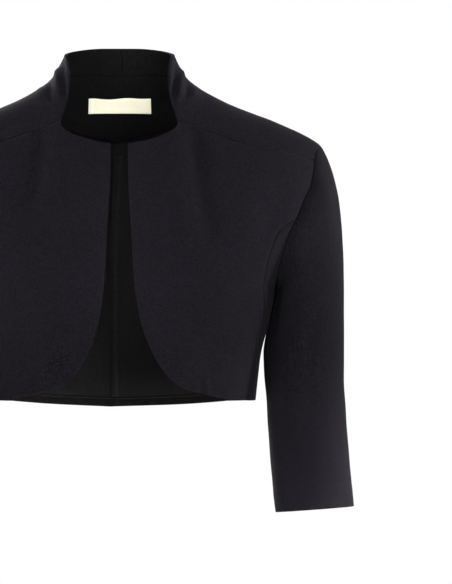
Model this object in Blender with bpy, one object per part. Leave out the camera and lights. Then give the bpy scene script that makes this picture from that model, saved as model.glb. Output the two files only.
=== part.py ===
"""Bolero jacket: rounded open fronts, a funnel collar grown on from the shoulder, three-quarter sleeves.

The body's cloth lies on one smooth form, given by a table of level rings. Seams are curves on that
form, each panel is a patch stretched between its seams, and each sleeve is a loft from its armhole.
All sizes are in millimetres and MM turns them into metres when a mesh is made.
The front faces -Y, the wearer's left is +X, and the origin is between the shoulders, at the level
where the collar rises from them.
"""

import bpy
import numpy as np

MM = 0.001
COLLECTION = "bolero_jacket"

# Cloth
WALL = 1.8
FACING_WALL = 1.2
LABEL_WALL = 1.0
LABEL_GAP = 0.7
SEAM_GAP = 0.3
LAYER_GAP = 0.3

# Rings of the body form, from the top down: height, half width, front depth, back depth, squareness
RINGS = (
    (45.0, 53.0, 45.0, 44.0, 2.0),
    (29.0, 57.5, 47.0, 48.0, 2.0),
    (16.5, 63.4, 48.5, 51.5, 2.0),
    (8.2, 68.2, 49.5, 54.0, 2.0),
    (0.0, 76.8, 50.5, 57.5, 2.0),
    (-8.2, 89.2, 51.5, 62.0, 2.0),
    (-16.5, 104.7, 52.5, 66.5, 2.0),
    (-24.7, 123.2, 53.5, 70.5, 2.0),
    (-37.0, 156.1, 56.0, 76.5, 2.0),
    (-49.4, 184.0, 60.5, 82.0, 2.0),
    (-61.8, 205.6, 67.0, 87.0, 2.0),
    (-80.0, 214.5, 77.0, 92.5, 2.03),
    (-100.0, 216.5, 88.0, 97.0, 2.1),
    (-118.0, 213.0, 97.0, 100.5, 2.15),
    (-137.0, 206.0, 105.5, 102.5, 2.2),
    (-150.0, 199.0, 110.5, 103.5, 2.25),
    (-168.0, 187.0, 116.0, 104.0, 2.3),
    (-188.0, 171.0, 120.5, 103.5, 2.3),
    (-207.0, 161.5, 122.0, 102.5, 2.3),
    (-222.0, 159.6, 121.5, 101.0, 2.3),
    (-246.0, 154.3, 119.5, 98.5, 2.3),
    (-273.0, 147.2, 115.5, 95.5, 2.3),
    (-300.0, 143.0, 111.5, 92.5, 2.3),
    (-345.0, 139.2, 106.5, 88.5, 2.3),
)

# Seams as they are seen from the front: distance from the middle, height
COLLAR_EDGE = (
    (56.3, 29.9),
    (54.0, 23.5),
    (52.4, 15.0),
    (52.1, 5.0),
    (52.3, -6.5),
    (54.0, -17.0),
    (57.0, -28.0),
    (60.2, -38.0),
)
NECKLINE = ((28.4, -57.8), (41.8, -53.6), (53.1, -48.4), (59.2, -43.0), (60.2, -38.0))
YOKE_SEAM = (
    (60.2, -38.0),
    (73.7, -43.0),
    (102.6, -53.0),
    (128.3, -62.0),
    (152.0, -68.0),
    (181.4, -72.0),
    (199.9, -79.0),
)
ARMHOLE_FRONT = (
    (203.4, -69.0),
    (201.0, -83.0),
    (199.0, -95.0),
    (196.2, -107.0),
    (191.2, -118.0),
    (183.2, -137.5),
    (176.5, -150.0),
    (170.6, -166.5),
    (165.0, -186.4),
    (161.5, -203.0),
)
ARMHOLE_BACK = (
    (205.0, -69.0),
    (203.3, -83.0),
    (199.8, -107.0),
    (189.5, -137.5),
    (182.5, -152.0),
    (174.0, -168.5),
    (167.5, -187.0),
    (162.5, -201.0),
)

# Top and bottom of the armhole: angle from the front middle in degrees, height
SHOULDER_POINT = (90.0, -63.4)
ARMPIT = (90.0, -207.0)

# Heights at which the princess seam and the side seam leave the armhole
PRINCESS_TOP_HEIGHT = -137.5
SIDE_TOP_HEIGHT = -152.0

# Seams that turn round the side: angle from the front middle in degrees, height
COLLAR_TOP = ((180.0, 37.4), (152.0, 36.9), (122.0, 34.0), (100.0, 31.6), (90.0, 30.7))
NECK_BASE = ((180.0, -2.0), (150.0, -1.0), (120.0, 0.0), (90.0, -1.0), (59.0, -8.2), (37.5, -20.0))
COLLAR_SEAM = ((180.0, 10.0), (150.0, 10.0), (120.0, 9.5), (90.0, 8.5), (68.0, 7.0))
PRINCESS_SEAM = (
    (56.7, -143.0),
    (54.1, -149.5),
    (53.4, -161.0),
    (55.8, -177.0),
    (60.2, -192.0),
    (64.0, -207.0),
    (65.5, -222.0),
    (68.0, -237.0),
    (73.0, -253.0),
    (81.5, -269.0),
    (90.0, -285.0),
    (97.0, -305.0),
    (100.0, -325.6),
)
SIDE_SEAM = (
    (119.0, -165.0),
    (123.5, -190.0),
    (127.0, -225.0),
    (129.0, -265.0),
    (130.0, -300.0),
    (130.5, -326.8),
)

# Front edges seen from the front, which differ a little: height, wearer's left, wearer's right
EDGE_COLUMNS = ("height", "left", "right")
FRONT_EDGE = (
    (-61.1, 9.0, 8.4),
    (-113.0, 10.1, 9.5),
    (-150.0, 12.6, 11.7),
    (-171.0, 14.0, 12.7),
    (-195.0, 15.2, 13.9),
    (-215.0, 17.0, 15.5),
    (-228.0, 19.2, 17.4),
    (-252.0, 24.5, 22.0),
    (-275.0, 33.6, 30.0),
    (-290.0, 42.2, 37.6),
    (-303.0, 52.6, 49.0),
)
FRONT_HEM = ((60.5, -310.3), (85.8, -318.4), (106.0, -323.4), (125.0, -325.2))
FRONT_HEM_END = (100.0, -325.6)
SIDE_HEM_END = (130.5, -326.8)
BACK_HEM = ((130.5, -326.8), (150.0, -330.0), (180.0, -333.0))

# Centre-back seam: height, distance to the wearer's left
CENTRE_BACK = (
    (45.0, 1.0),
    (8.0, 2.5),
    (-2.0, 2.0),
    (-40.0, -2.5),
    (-90.0, -7.0),
    (-140.0, -10.3),
    (-220.0, -11.6),
    (-300.0, -10.4),
    (-340.0, -9.5),
)

# Sleeve rings below the armhole: height, inner, outer, front, back, and how much lower the inner side is
SLEEVE_RINGS = (
    (-222.0, 153.0, 231.3, -49.0, 57.0, 0.0),
    (-250.0, 149.5, 231.3, -48.5, 52.5, 0.0),
    (-273.0, 147.0, 231.3, -48.5, 49.0, 0.0),
    (-290.0, 148.0, 231.3, -48.5, 46.5, 0.0),
    (-305.0, 149.2, 231.5, -49.0, 44.5, 0.2),
    (-325.5, 151.0, 232.4, -49.5, 42.0, 0.5),
    (-350.0, 152.6, 233.8, -50.5, 39.0, 1.0),
    (-375.0, 154.6, 235.9, -52.0, 35.5, 1.6),
    (-400.0, 156.6, 237.9, -53.5, 32.0, 2.2),
    (-420.0, 158.6, 239.6, -54.5, 29.5, 2.7),
    (-437.7, 161.0, 241.4, -55.5, 27.0, 3.1),
)
SLEEVE_SQUARENESS = 2.1

# How the sleeve leaves the armhole: angle round it from the shoulder over the front, then how far it
# goes out, back and up, and its reach as a share of the span to the first ring
CAP_STARTS = (
    (0.0, 0.50, 0.00, -0.87, 0.85),
    (45.0, 0.66, -0.38, -0.62, 0.80),
    (90.0, 0.80, -0.42, -0.42, 0.80),
    (135.0, 0.90, -0.36, -0.10, 0.90),
    (180.0, 0.97, 0.00, 0.25, 2.00),
    (225.0, 0.90, 0.36, -0.10, 0.90),
    (270.0, 0.80, 0.42, -0.42, 0.80),
    (315.0, 0.66, 0.38, -0.62, 0.80),
    (360.0, 0.50, 0.00, -0.87, 0.85),
)
CAP_LANDING = 0.95
CAP_STEPS = (0.0, 0.035, 0.10, 0.20, 0.32, 0.46, 0.61, 0.76, 0.89)

# Room between the sleeve and the body, how softly the sleeve bends to keep it, and where it does
SLEEVE_CLEARANCE = 1.1
CLEARANCE_BLEND = 1.2
CLEARANCE_HEIGHTS = (-370.0, -110.0)

# Sleeve folds: height, angle round the sleeve, half length, half width in degrees, depth inwards
SLEEVE_FOLDS = (
    (-262.0, 118.0, 34.0, 17.0, 3.4),
    (-318.0, 138.0, 40.0, 15.0, 2.6),
    (-300.0, 222.0, 36.0, 18.0, 3.2),
    (-352.0, 246.0, 30.0, 20.0, 2.4),
    (-250.0, 96.0, 30.0, 13.0, -1.4),
    (-335.0, 200.0, 26.0, 14.0, 2.0),
)

# Collar crease, seen from the front: two ends, half width, depth inwards
COLLAR_CREASE = ((60.5, 17.0), (58.0, -14.0), 6.0, 1.3)

# Inside pieces
LABEL_SIZE = (66.0, 15.8)
LABEL_MIDDLE = (0.0, -20.0)
ALLOWANCE_WIDTH = 8.0
ALLOWANCE_WALL = 1.0
ALLOWANCE_TOP = -72.0
HEM_TURN = 9.4
PIECE_INSET = 0.5

# Grid counts
ROWS_COLLAR_FACING = 3
ROWS_NECK_BASE = 3
COLUMNS_NECK = 10
COLUMNS_YOKE = 9
COLUMNS_NECKLINE = 6
ROWS_SHOULDER = 2
ROWS_BACK_ARMHOLE = 7
ROWS_FRONT_ARMHOLE = 5
ROWS_SIDE = 12
COLUMNS_SIDE = 10
ROWS_NECK_FACING = 4
LABEL_GRID = (3, 12)
ALLOWANCE_GRID = (14, 2)
TURNUP_ROWS = 2
TURNUP_COLUMNS = 20
RELAX_ROUNDS = 12
DENSE = 400

# Order of a quad's corners that turns it round and keeps its diagonal
TURNED = [0, 3, 2, 1]

# Edges sharper than this many degrees are shaded as edges
SHARP_ANGLE = 50.0

# Cloth finishes: name, linear colour, roughness
OUTER_CLOTH = ("outer_cloth", (0.0165, 0.0150, 0.0190, 1.0), 0.85)
INNER_CLOTH = ("inner_cloth", (0.0080, 0.0075, 0.0085, 1.0), 0.9)
LABEL_CLOTH = ("woven_label", (0.78, 0.70, 0.60, 1.0), 0.6)


def hermite(knots, values, at):
    """Smooth curve through values at rising knots, with slopes from the neighbouring rows."""
    knots = np.asarray(knots, float)
    values = np.asarray(values, float)
    at = np.clip(at, knots[0], knots[-1])
    slopes = np.gradient(values, knots, axis=0)
    index = np.clip(np.searchsorted(knots, at, side="right") - 1, 0, len(knots) - 2)
    span = knots[index + 1] - knots[index]
    t = (at - knots[index]) / span
    shape = t.shape + (1,) * (values.ndim - 1)
    t = t.reshape(shape)
    span = span.reshape(shape)
    start = (1 + 2 * t) * (1 - t) ** 2 * values[index] + t * (1 - t) ** 2 * span * slopes[index]
    end = t * t * (3 - 2 * t) * values[index + 1] - t * t * (1 - t) * span * slopes[index + 1]
    return start + end


def ring_sizes(height):
    """Half width, front depth, back depth and squareness of the body form at each height."""
    table = np.array(RINGS)[::-1]
    return np.moveaxis(hermite(table[:, 0], table[:, 1:], np.asarray(height, float)), -1, 0)


def form_value(points):
    """Zero on the body form, positive outside it."""
    x, y, z = np.moveaxis(points, -1, 0)
    half_width, front, back, power = ring_sizes(z)
    depth = np.where(y < 0, front, back)
    return ((np.abs(x) / half_width) ** power + (np.abs(y) / depth) ** power) ** (1 / power) - 1


def form_slope(points, step=0.05):
    """Gradient of form_value, by central differences."""
    slope = np.empty_like(points)
    for axis in range(3):
        move = np.zeros(3)
        move[axis] = step
        slope[..., axis] = (form_value(points + move) - form_value(points - move)) / (2 * step)
    return slope


def onto_form(points, rounds=5):
    """The points moved along the slope until they lie on the body form."""
    for _ in range(rounds):
        slope = form_slope(points)
        points = points - slope * (form_value(points) / (slope**2).sum(-1))[..., None]
    return points


def outward(points):
    """Unit direction away from the body form."""
    slope = form_slope(points)
    return slope / np.linalg.norm(slope, axis=-1, keepdims=True)


def ring_point(angle, height):
    """Point of the body form at an angle in degrees from the front middle, and a height."""
    angle = np.radians(angle)
    height = np.asarray(height, float)
    half_width, front, back, power = ring_sizes(height)
    sine = np.sin(angle)
    cosine = np.cos(angle)
    reach = (np.abs(sine) ** power + np.abs(cosine) ** power) ** (1 / power)
    depth = np.where(cosine > 0, front, back)
    return np.stack([half_width * sine / reach, -depth * cosine / reach, height], -1)


def ring_angle(x, height, back=False):
    """Angle in degrees at which the ring at a height has the distance x from the middle."""
    half_width, _, _, power = ring_sizes(height)
    share = np.clip(np.asarray(x, float) / half_width, -1, 1)
    other = (1 - np.abs(share) ** power) ** (1 / power)
    angle = np.degrees(np.arctan2(share, other))
    return 180 - angle if back else angle


def seen(rows, back=False):
    """Rows of distance and height, turned into rows of angle and height."""
    rows = np.array(rows, float)
    return np.stack([ring_angle(rows[:, 0], rows[:, 1], back), rows[:, 1]], -1)


def even(points, count):
    """The polyline as count steps of one length."""
    along = np.concatenate([[0], np.cumsum(np.linalg.norm(np.diff(points, axis=0), axis=1))])
    wanted = np.linspace(0, along[-1], count + 1)
    return np.stack([np.interp(wanted, along, points[:, axis]) for axis in range(3)], -1)


def turn(points):
    """Angle in degrees from the front middle, for points on the form."""
    angle = ring_angle(points[..., 0], points[..., 2])
    return np.where(points[..., 1] < 0, angle, 180 - angle)


def seam(rows, count):
    """Curve on the body form through rows of angle and height, in count even steps."""
    rows = np.array(rows, float)
    rough = ring_point(rows[:, 0], rows[:, 1])
    along = np.concatenate([[0], np.cumsum(np.linalg.norm(np.diff(rough, axis=0), axis=1))])
    dense = hermite(along, rows, np.linspace(0, along[-1], DENSE))
    return even(ring_point(dense[:, 0], dense[:, 1]), count)


def centre_back(top, bottom, count, side):
    """The centre-back seam between two heights, for the half on the given side."""
    height = np.linspace(top, bottom, DENSE)
    return even(on_back(seam_distance(height, side), height), count)


def patch(top, bottom, left, right):
    """Grid stretched between four curves, evened out and laid on the body form. Rows run from top."""
    u = np.linspace(0, 1, len(top))[None, :, None]
    v = np.linspace(0, 1, len(left))[:, None, None]
    grid = (1 - v) * top[None] + v * bottom[None] + (1 - u) * left[:, None] + u * right[:, None]
    grid = grid - (1 - u) * ((1 - v) * top[0] + v * bottom[0]) - u * ((1 - v) * top[-1] + v * bottom[-1])
    grid[:, 0] = left
    grid[:, -1] = right
    grid[0] = top
    grid[-1] = bottom
    for _ in range(RELAX_ROUNDS):
        inside = (grid[:-2, 1:-1] + grid[2:, 1:-1] + grid[1:-1, :-2] + grid[1:-1, 2:]) / 4
        grid[1:-1, 1:-1] = onto_form(inside, 2)
    grid[1:-1, 1:-1] = onto_form(grid[1:-1, 1:-1])
    return grid


def pulled_in(grid, top=0.0, bottom=0.0, left=0.0, right=0.0):
    """The grid with its edge rows and columns moved inwards by a distance, to leave a gap at seams."""
    moved = grid.copy()
    for amount, edge, inner in ((top, 0, 1), (bottom, -1, -2)):
        moved[edge] += amount * inwards(grid[edge], grid[inner])
    for amount, edge, inner in ((left, 0, 1), (right, -1, -2)):
        moved[:, edge] += amount * inwards(grid[:, edge], grid[:, inner])
    return moved


def inwards(edge, inner, closed=False):
    """Unit vectors along the form and square to an edge, on the side where the inner points lie."""
    ends = np.vstack([edge[-1:], edge, edge[:1]]) if closed else edge
    along = np.gradient(ends, axis=0)
    if closed:
        along = along[1:-1]
    square = np.cross(outward(edge), along)
    square = square / np.linalg.norm(square, axis=-1, keepdims=True)
    return square * np.sign((square * (inner - edge)).sum())


def creased(points):
    """The points with the collar's soft crease pressed in."""
    start, end, half_width, depth = COLLAR_CREASE
    start = np.array(start)
    run = np.array(end) - start
    flat = np.stack([np.abs(points[..., 0]), points[..., 2]], -1) - start
    share = np.clip((flat @ run) / (run @ run), 0, 1)
    away = np.linalg.norm(flat - share[..., None] * run, axis=-1)
    press = depth * np.exp(-((away / half_width) ** 2)) * (points[..., 1] < 0)
    return points - outward(points) * press[..., None]


def layered(grid, depth, thickness):
    """Outer and inner points of a layer that lies at a depth under the body's cloth."""
    normal = outward(grid)
    surface = creased(grid)
    return surface - normal * depth, surface - normal * (depth + thickness)


def grid_faces(rows, columns, first=0):
    """Quads of a grid whose rows run down and columns run away from the wearer's middle."""
    index = first + np.arange(rows * columns).reshape(rows, columns)
    quads = np.stack([index[:-1, :-1], index[1:, :-1], index[1:, 1:], index[:-1, 1:]], -1)
    return quads.reshape(-1, 4)


def closed_wall(outer, inner, faces):
    """Vertices and faces of a wall: outer faces, inner faces turned round, and a rim on open edges."""
    edges = np.stack([faces, np.roll(faces, -1, axis=1)], -1).reshape(-1, 2)
    _, index, count = np.unique(np.sort(edges, axis=1), axis=0, return_inverse=True, return_counts=True)
    rim = edges[count[index.reshape(-1)] == 1]
    shift = len(outer)
    sides = np.stack([rim[:, 1], rim[:, 0], rim[:, 0] + shift, rim[:, 1] + shift], -1)
    return np.concatenate([outer, inner]), np.concatenate([faces, faces[:, TURNED] + shift, sides])


def mirrored(points, side):
    """The points on the wearer's left for side 1, or on the right for side -1."""
    return points * np.array([side, 1.0, 1.0])


def make_cloth(name, outer, inner, faces, side, material):
    """Object for one cut piece, from its outer and inner points on the wearer's left."""
    points, quads = closed_wall(mirrored(outer, side), mirrored(inner, side), faces)
    if side < 0:
        quads = quads[:, TURNED]
    mesh = bpy.data.meshes.new(name)
    mesh.from_pydata((points * MM).tolist(), [], quads.tolist())
    mesh.update()
    mesh.materials.append(material)
    mesh.shade_smooth()
    mesh.set_sharp_from_angle(angle=np.radians(SHARP_ANGLE))
    piece = bpy.data.objects.new(name, mesh)
    bpy.data.collections[COLLECTION].objects.link(piece)
    return piece


def make_layer(name, blocks, side, material, depth=0.0, thickness=WALL):
    """Object for a piece made of one or more grids, each with a flag that turns its faces round.

    Grids that meet share points, which are merged by place.
    """
    outer, inner, faces = [], [], []
    first = 0
    for grid, turned in blocks:
        above, below = layered(grid, depth, thickness)
        outer.append(above.reshape(-1, 3))
        inner.append(below.reshape(-1, 3))
        quads = grid_faces(*grid.shape[:2], first)
        faces.append(quads[:, TURNED] if turned else quads)
        first += len(outer[-1])
    outer = np.concatenate(outer)
    _, keep, same = np.unique(np.round(outer, 4), axis=0, return_index=True, return_inverse=True)
    faces = same.reshape(-1)[np.concatenate(faces)]
    return make_cloth(name, outer[keep], np.concatenate(inner)[keep], faces, side, material)


def cloth_material(finish):
    """Matt cloth of one colour."""
    name, colour, roughness = finish
    material = bpy.data.materials.new(name)
    material.use_nodes = True
    shader = material.node_tree.nodes["Principled BSDF"]
    shader.inputs["Base Color"].default_value = colour
    shader.inputs["Roughness"].default_value = roughness
    shader.inputs["Metallic"].default_value = 0.0
    return material


def armhole():
    """The armhole in four runs: over the shoulder, down the front, under the arm, and the back."""
    front = seen(ARMHOLE_FRONT)
    back = seen(ARMHOLE_BACK, back=True)
    yoke_end = YOKE_SEAM[-1][1]
    front_rows = np.vstack([[SHOULDER_POINT], front, [ARMPIT]])
    back_rows = np.vstack([[SHOULDER_POINT], back, [ARMPIT]])
    front_line = seam(front_rows, DENSE)
    back_line = seam(back_rows, DENSE)
    to_yoke = np.argmin(np.abs(front_line[:, 2] - yoke_end))
    to_princess = np.argmin(np.abs(front_line[:, 2] - PRINCESS_TOP_HEIGHT))
    to_side = np.argmin(np.abs(back_line[:, 2] - SIDE_TOP_HEIGHT))
    under = np.vstack([front_line[to_princess:], back_line[to_side:-1][::-1]])
    return {
        "shoulder": even(front_line[: to_yoke + 1], ROWS_SHOULDER),
        "front": even(front_line[to_yoke : to_princess + 1], ROWS_FRONT_ARMHOLE),
        "under": even(under, COLUMNS_SIDE),
        "back": even(back_line[: to_side + 1], ROWS_BACK_ARMHOLE),
    }


def joined(*curves):
    """Curves end to end, with each shared point once."""
    return np.vstack([curves[0]] + [curve[1:] for curve in curves[1:]])


def as_row(point, back=False):
    """Angle and height of a point on the form."""
    return ring_angle(point[0], point[2], back), point[2]


def seam_distance(height, side):
    """Distance of the centre-back seam from the middle, towards the given side, at a height."""
    table = np.array(CENTRE_BACK)[::-1]
    return hermite(table[:, 0], table[:, 1], np.asarray(height, float)) * side


def from_centre_back(table, side, last, count):
    """Seam that starts on the centre-back seam at the first row's height, in place of that row."""
    height = table[0][1]
    start = (180 - ring_angle(seam_distance(height, side), height), height)
    return seam(np.vstack([[start], table[1:], last]), count)


def body_seams(side):
    """Every seam and edge of one half of the body, as points on the wearer's left."""
    holes = armhole()
    princess_top = as_row(holes["under"][0])
    side_top = as_row(holes["under"][-1], back=True)
    yoke_rows = seen(YOKE_SEAM)
    yoke_rows[-1] = as_row(holes["front"][0])
    column = EDGE_COLUMNS.index("left" if side > 0 else "right")
    edge = [(row[column], row[0]) for row in FRONT_EDGE]
    edge_rows = seen(edge)
    hem_rows = np.vstack([edge_rows[-1], seen(FRONT_HEM), [FRONT_HEM_END]])
    corner = len(edge)
    whole = seam(np.vstack([edge_rows, hem_rows[1:]]), DENSE)
    split = np.argmin(np.linalg.norm(whole - ring_point(*edge_rows[corner - 1]), axis=1))
    neck_rows = np.vstack([edge_rows[:1], seen(NECKLINE)])
    rows = ROWS_FRONT_ARMHOLE + ROWS_SIDE
    collar_edge = seam(seen(COLLAR_EDGE), DENSE)
    seam_end = np.argmin(np.abs(collar_edge[:, 2] - COLLAR_SEAM[-1][1]))
    collar_end = as_row(collar_edge[0])
    facing_end = as_row(collar_edge[seam_end])
    base_end = as_row(collar_edge[-1])
    top, middle, base, hem = (table[0][1] for table in (COLLAR_TOP, COLLAR_SEAM, NECK_BASE, BACK_HEM[::-1]))
    back_rows = ROWS_SHOULDER + ROWS_BACK_ARMHOLE + ROWS_SIDE
    return {
        **holes,
        "collar_top": from_centre_back(COLLAR_TOP, side, [collar_end], COLUMNS_NECK),
        "collar_seam": from_centre_back(COLLAR_SEAM, side, [facing_end], COLUMNS_NECK),
        "neck_base": from_centre_back(NECK_BASE, side, [base_end], COLUMNS_NECK),
        "collar_edge_high": even(collar_edge[: seam_end + 1], ROWS_COLLAR_FACING),
        "collar_edge_low": even(collar_edge[seam_end:], ROWS_NECK_BASE),
        "yoke": seam(yoke_rows, COLUMNS_YOKE),
        "neckline": seam(neck_rows, COLUMNS_NECKLINE),
        "front_edge": even(whole[: split + 1], rows),
        "front_hem": even(whole[split:], COLUMNS_NECKLINE + COLUMNS_YOKE),
        "princess": seam(np.vstack([[princess_top], PRINCESS_SEAM]), ROWS_SIDE),
        "side_seam": seam(np.vstack([[side_top], SIDE_SEAM]), ROWS_SIDE),
        "side_hem": seam(np.array([FRONT_HEM_END, SIDE_HEM_END]), COLUMNS_SIDE),
        "back_hem": from_centre_back(BACK_HEM[:0:-1], side, BACK_HEM[:1], COLUMNS_NECK + COLUMNS_YOKE),
        "back_high": centre_back(top, middle, ROWS_COLLAR_FACING, side),
        "back_mid": centre_back(middle, base, ROWS_NECK_BASE, side),
        "back_low": centre_back(base, hem, back_rows, side),
    }


def front_grid(seams):
    """Front panel, from neckline and forward shoulder seam to the rounded hem."""
    return patch(
        joined(seams["neckline"], seams["yoke"]),
        seams["front_hem"],
        seams["front_edge"],
        joined(seams["front"], seams["princess"]),
    )


def side_grid(seams):
    """Underarm panel. Each column falls from the armhole to the hem, at a share of the way between
    the princess seam and the side seam that changes evenly on the way down."""
    princess, side_seam = seams["princess"], seams["side_seam"]

    def between(points, share=None):
        low = np.interp(-points[..., 2], -princess[:, 2], turn(princess))
        high = np.interp(-points[..., 2], -side_seam[:, 2], turn(side_seam))
        if share is None:
            return (turn(points) - low) / (high - low)
        return low + share * (high - low)

    top, hem = seams["under"], seams["side_hem"]
    u = np.linspace(0, 1, COLUMNS_SIDE + 1)
    drop = [(line[:, 2] - line[0, 2]) / (line[-1, 2] - line[0, 2]) for line in (princess, side_seam)]
    v = (1 - u) * drop[0][:, None] + u * drop[1][:, None]
    height = (1 - v) * top[:, 2] + v * hem[:, 2]
    share = (1 - v) * between(top) + v * u
    rough = np.stack([0 * height, 0 * height, height], -1)
    grid = ring_point(between(rough, share), height)
    grid[0], grid[-1], grid[:, 0], grid[:, -1] = top, hem, princess, side_seam
    return grid


def back_grids(seams):
    """Collar, neck strip and back of one half, as three grids that share their edges."""
    collar = patch(seams["collar_top"], seams["collar_seam"], seams["back_high"], seams["collar_edge_high"])
    strip = patch(seams["collar_seam"], seams["neck_base"], seams["back_mid"], seams["collar_edge_low"])
    over_shoulder = joined(seams["shoulder"][::-1], seams["back"])
    back = patch(
        joined(seams["neck_base"], seams["yoke"]),
        seams["back_hem"],
        seams["back_low"],
        joined(over_shoulder, seams["side_seam"]),
    )
    return collar, strip, back


def make_back(name, grids, side, material):
    """Back half with the collar grown on."""
    collar, strip, back = (pulled_in(grid, left=SEAM_GAP / 2) for grid in grids)
    back = pulled_in(back, right=SEAM_GAP / 2)
    yoke = slice(COLUMNS_NECK, None)
    back[0, yoke] = pulled_in(back, top=SEAM_GAP / 2)[0, yoke]
    strip[-1] = back[0, : COLUMNS_NECK + 1]
    collar[-1] = strip[0]
    return make_layer(name, [(collar, True), (strip, True), (back, True)], side, material)


def sleeve_ring(rows, around):
    """Points of sleeve rings, one for each row, at angles round them from the outer side over the front."""
    height, inner, outer, front, back, lean = np.moveaxis(np.asarray(rows)[..., None], -2, 0)
    sine = np.sin(around)
    cosine = np.cos(around)
    power = SLEEVE_SQUARENESS
    reach = (np.abs(sine) ** power + np.abs(cosine) ** power) ** (1 / power)
    across = (inner + outer) / 2 + (outer - inner) / 2 * cosine / reach
    along = (front + back) / 2 - (back - front) / 2 * sine / reach
    return np.stack(np.broadcast_arrays(across, along, height + lean * cosine), -1)


def folded(points, around):
    """Sleeve points with its soft folds pressed in, square to the sleeve's axis."""
    middle = points.mean(axis=1, keepdims=True)
    away = points - middle
    away[..., 2] = 0
    away = away / np.linalg.norm(away, axis=-1, keepdims=True)
    angles = np.degrees(around)[None]
    press = np.zeros(points.shape[:2])
    for height, angle, half_length, half_width, depth in SLEEVE_FOLDS:
        off = (angles - angle + 180) % 360 - 180
        along = (points[..., 2] - height) / half_length
        press += depth * np.exp(-((off / half_width) ** 2) - along**2)
    return points - away * press[..., None]


def clear_of_body(points):
    """Points nearer to the body form than the sleeve's clearance, moved out to it with a soft change."""
    slope = form_slope(points)
    size = np.linalg.norm(slope, axis=-1)
    distance = form_value(points) / size
    low, high = CLEARANCE_HEIGHTS
    near = (points[..., 2] > low) & (points[..., 2] < high)
    lift = CLEARANCE_BLEND * np.logaddexp(0, (SLEEVE_CLEARANCE - distance) / CLEARANCE_BLEND)
    lift = np.where(near, lift, 0)
    return points + slope / size[..., None] * lift[..., None]


def sleeve_grid(seams):
    """Sleeve as rings of points: the cap from the armhole, then the tube down to the cuff."""
    loop = joined(seams["shoulder"], seams["front"], seams["under"], seams["back"][::-1])[:-1]
    lowest = int(np.argmin(loop[:, 2]))
    steps = np.linalg.norm(np.diff(np.vstack([loop, loop[:1]]), axis=0), axis=1)
    along = np.concatenate([[0], np.cumsum(steps)])
    around = np.where(
        np.arange(len(loop)) <= lowest,
        np.pi * along[:-1] / along[lowest],
        np.pi + np.pi * (along[:-1] - along[lowest]) / (along[-1] - along[lowest]),
    )
    tube = sleeve_ring(SLEEVE_RINGS, around)
    tube = folded(tube, around)
    starts = np.array(CAP_STARTS)
    start = hermite(starts[:, 0], starts[:, 1:], np.degrees(around))
    direction = start[:, :3] / np.linalg.norm(start[:, :3], axis=1, keepdims=True)
    span = np.linalg.norm(tube[0] - loop, axis=1, keepdims=True)
    leave = direction * span * start[:, 3:]
    land = tube[1] - tube[0]
    land = land / np.linalg.norm(land, axis=1, keepdims=True) * span * CAP_LANDING
    t = np.array(CAP_STEPS)[:, None, None]
    cap = (
        (1 + 2 * t) * (1 - t) ** 2 * loop
        + t * (1 - t) ** 2 * leave
        + t * t * (3 - 2 * t) * tube[0]
        - t * t * (1 - t) * land
    )
    rings = np.vstack([cap, tube])
    cleared = clear_of_body(rings)
    cleared[0] = loop
    return cleared


def ring_normals(rings):
    """Outward unit normals of a tube's rings."""
    closed = np.concatenate([rings[:, -1:], rings, rings[:, :1]], axis=1)
    around = closed[:, 2:] - closed[:, :-2]
    down = np.gradient(rings, axis=0)
    normal = np.cross(around, down)
    normal /= np.linalg.norm(normal, axis=-1, keepdims=True)
    away = rings - rings.mean(axis=1, keepdims=True)
    return normal * np.sign((normal * away).sum(-1).mean())


def make_sleeve(name, seams, side, material):
    """Sleeve: a tube of cloth, open at the armhole and the cuff."""
    rings = sleeve_grid(seams)
    normal = ring_normals(rings)
    normal[0] = outward(rings[0])
    rings[0] += SEAM_GAP / 2 * inwards(rings[0], rings[0].mean(axis=0), closed=True)
    inner = rings - normal * WALL
    count = rings.shape[1]
    wrapped = np.concatenate([np.arange(count), [0]])
    index = np.arange(rings.shape[0])[:, None] * count + wrapped[None]
    faces = np.stack([index[:-1, :-1], index[:-1, 1:], index[1:, 1:], index[1:, :-1]], -1).reshape(-1, 4)
    return make_cloth(name, rings.reshape(-1, 3), inner.reshape(-1, 3), faces, side, material)


def make_collar_facing(name, collar, side, material):
    """Inner layer of the collar, flush with its edges."""
    grid = pulled_in(collar, left=SEAM_GAP / 2, bottom=SEAM_GAP / 2)
    return make_layer(name, [(grid, True)], side, material, WALL + LAYER_GAP, FACING_WALL)


def neck_facing_blocks(grids, side):
    """One half of the neck facing: the strip under the collar, and the back and shoulder below it."""
    _, strip, back = grids
    strip = pulled_in(strip, top=SEAM_GAP / 2, right=PIECE_INSET)
    low = back[: ROWS_NECK_FACING + 1, : COLUMNS_NECK + 1].copy()
    low[0] = strip[-1]
    return [(mirrored(strip, side), side > 0), (mirrored(low, side), side > 0)]


def joined_halves(left_blocks, right_blocks):
    """Grids of both halves of a piece, which share the points of their middle column."""
    for (left, _), (right, _) in zip(left_blocks, right_blocks):
        right[:, 0] = left[:, 0]
    return left_blocks + right_blocks


def on_back(across, height):
    """Point of the form's back at a distance from the middle and a height."""
    return ring_point(180 - ring_angle(across, height), height)


def make_label(material, depth):
    """Flat woven label sewn inside the back neck."""
    width, tall = LABEL_SIZE
    rows, columns = LABEL_GRID
    across = np.linspace(-width / 2, width / 2, columns + 1) + LABEL_MIDDLE[0]
    height = np.linspace(tall / 2, -tall / 2, rows + 1) + LABEL_MIDDLE[1]
    grid = on_back(*np.meshgrid(across, height))
    return make_layer("label", [(grid, True)], 1, material, depth, LABEL_WALL)


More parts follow.
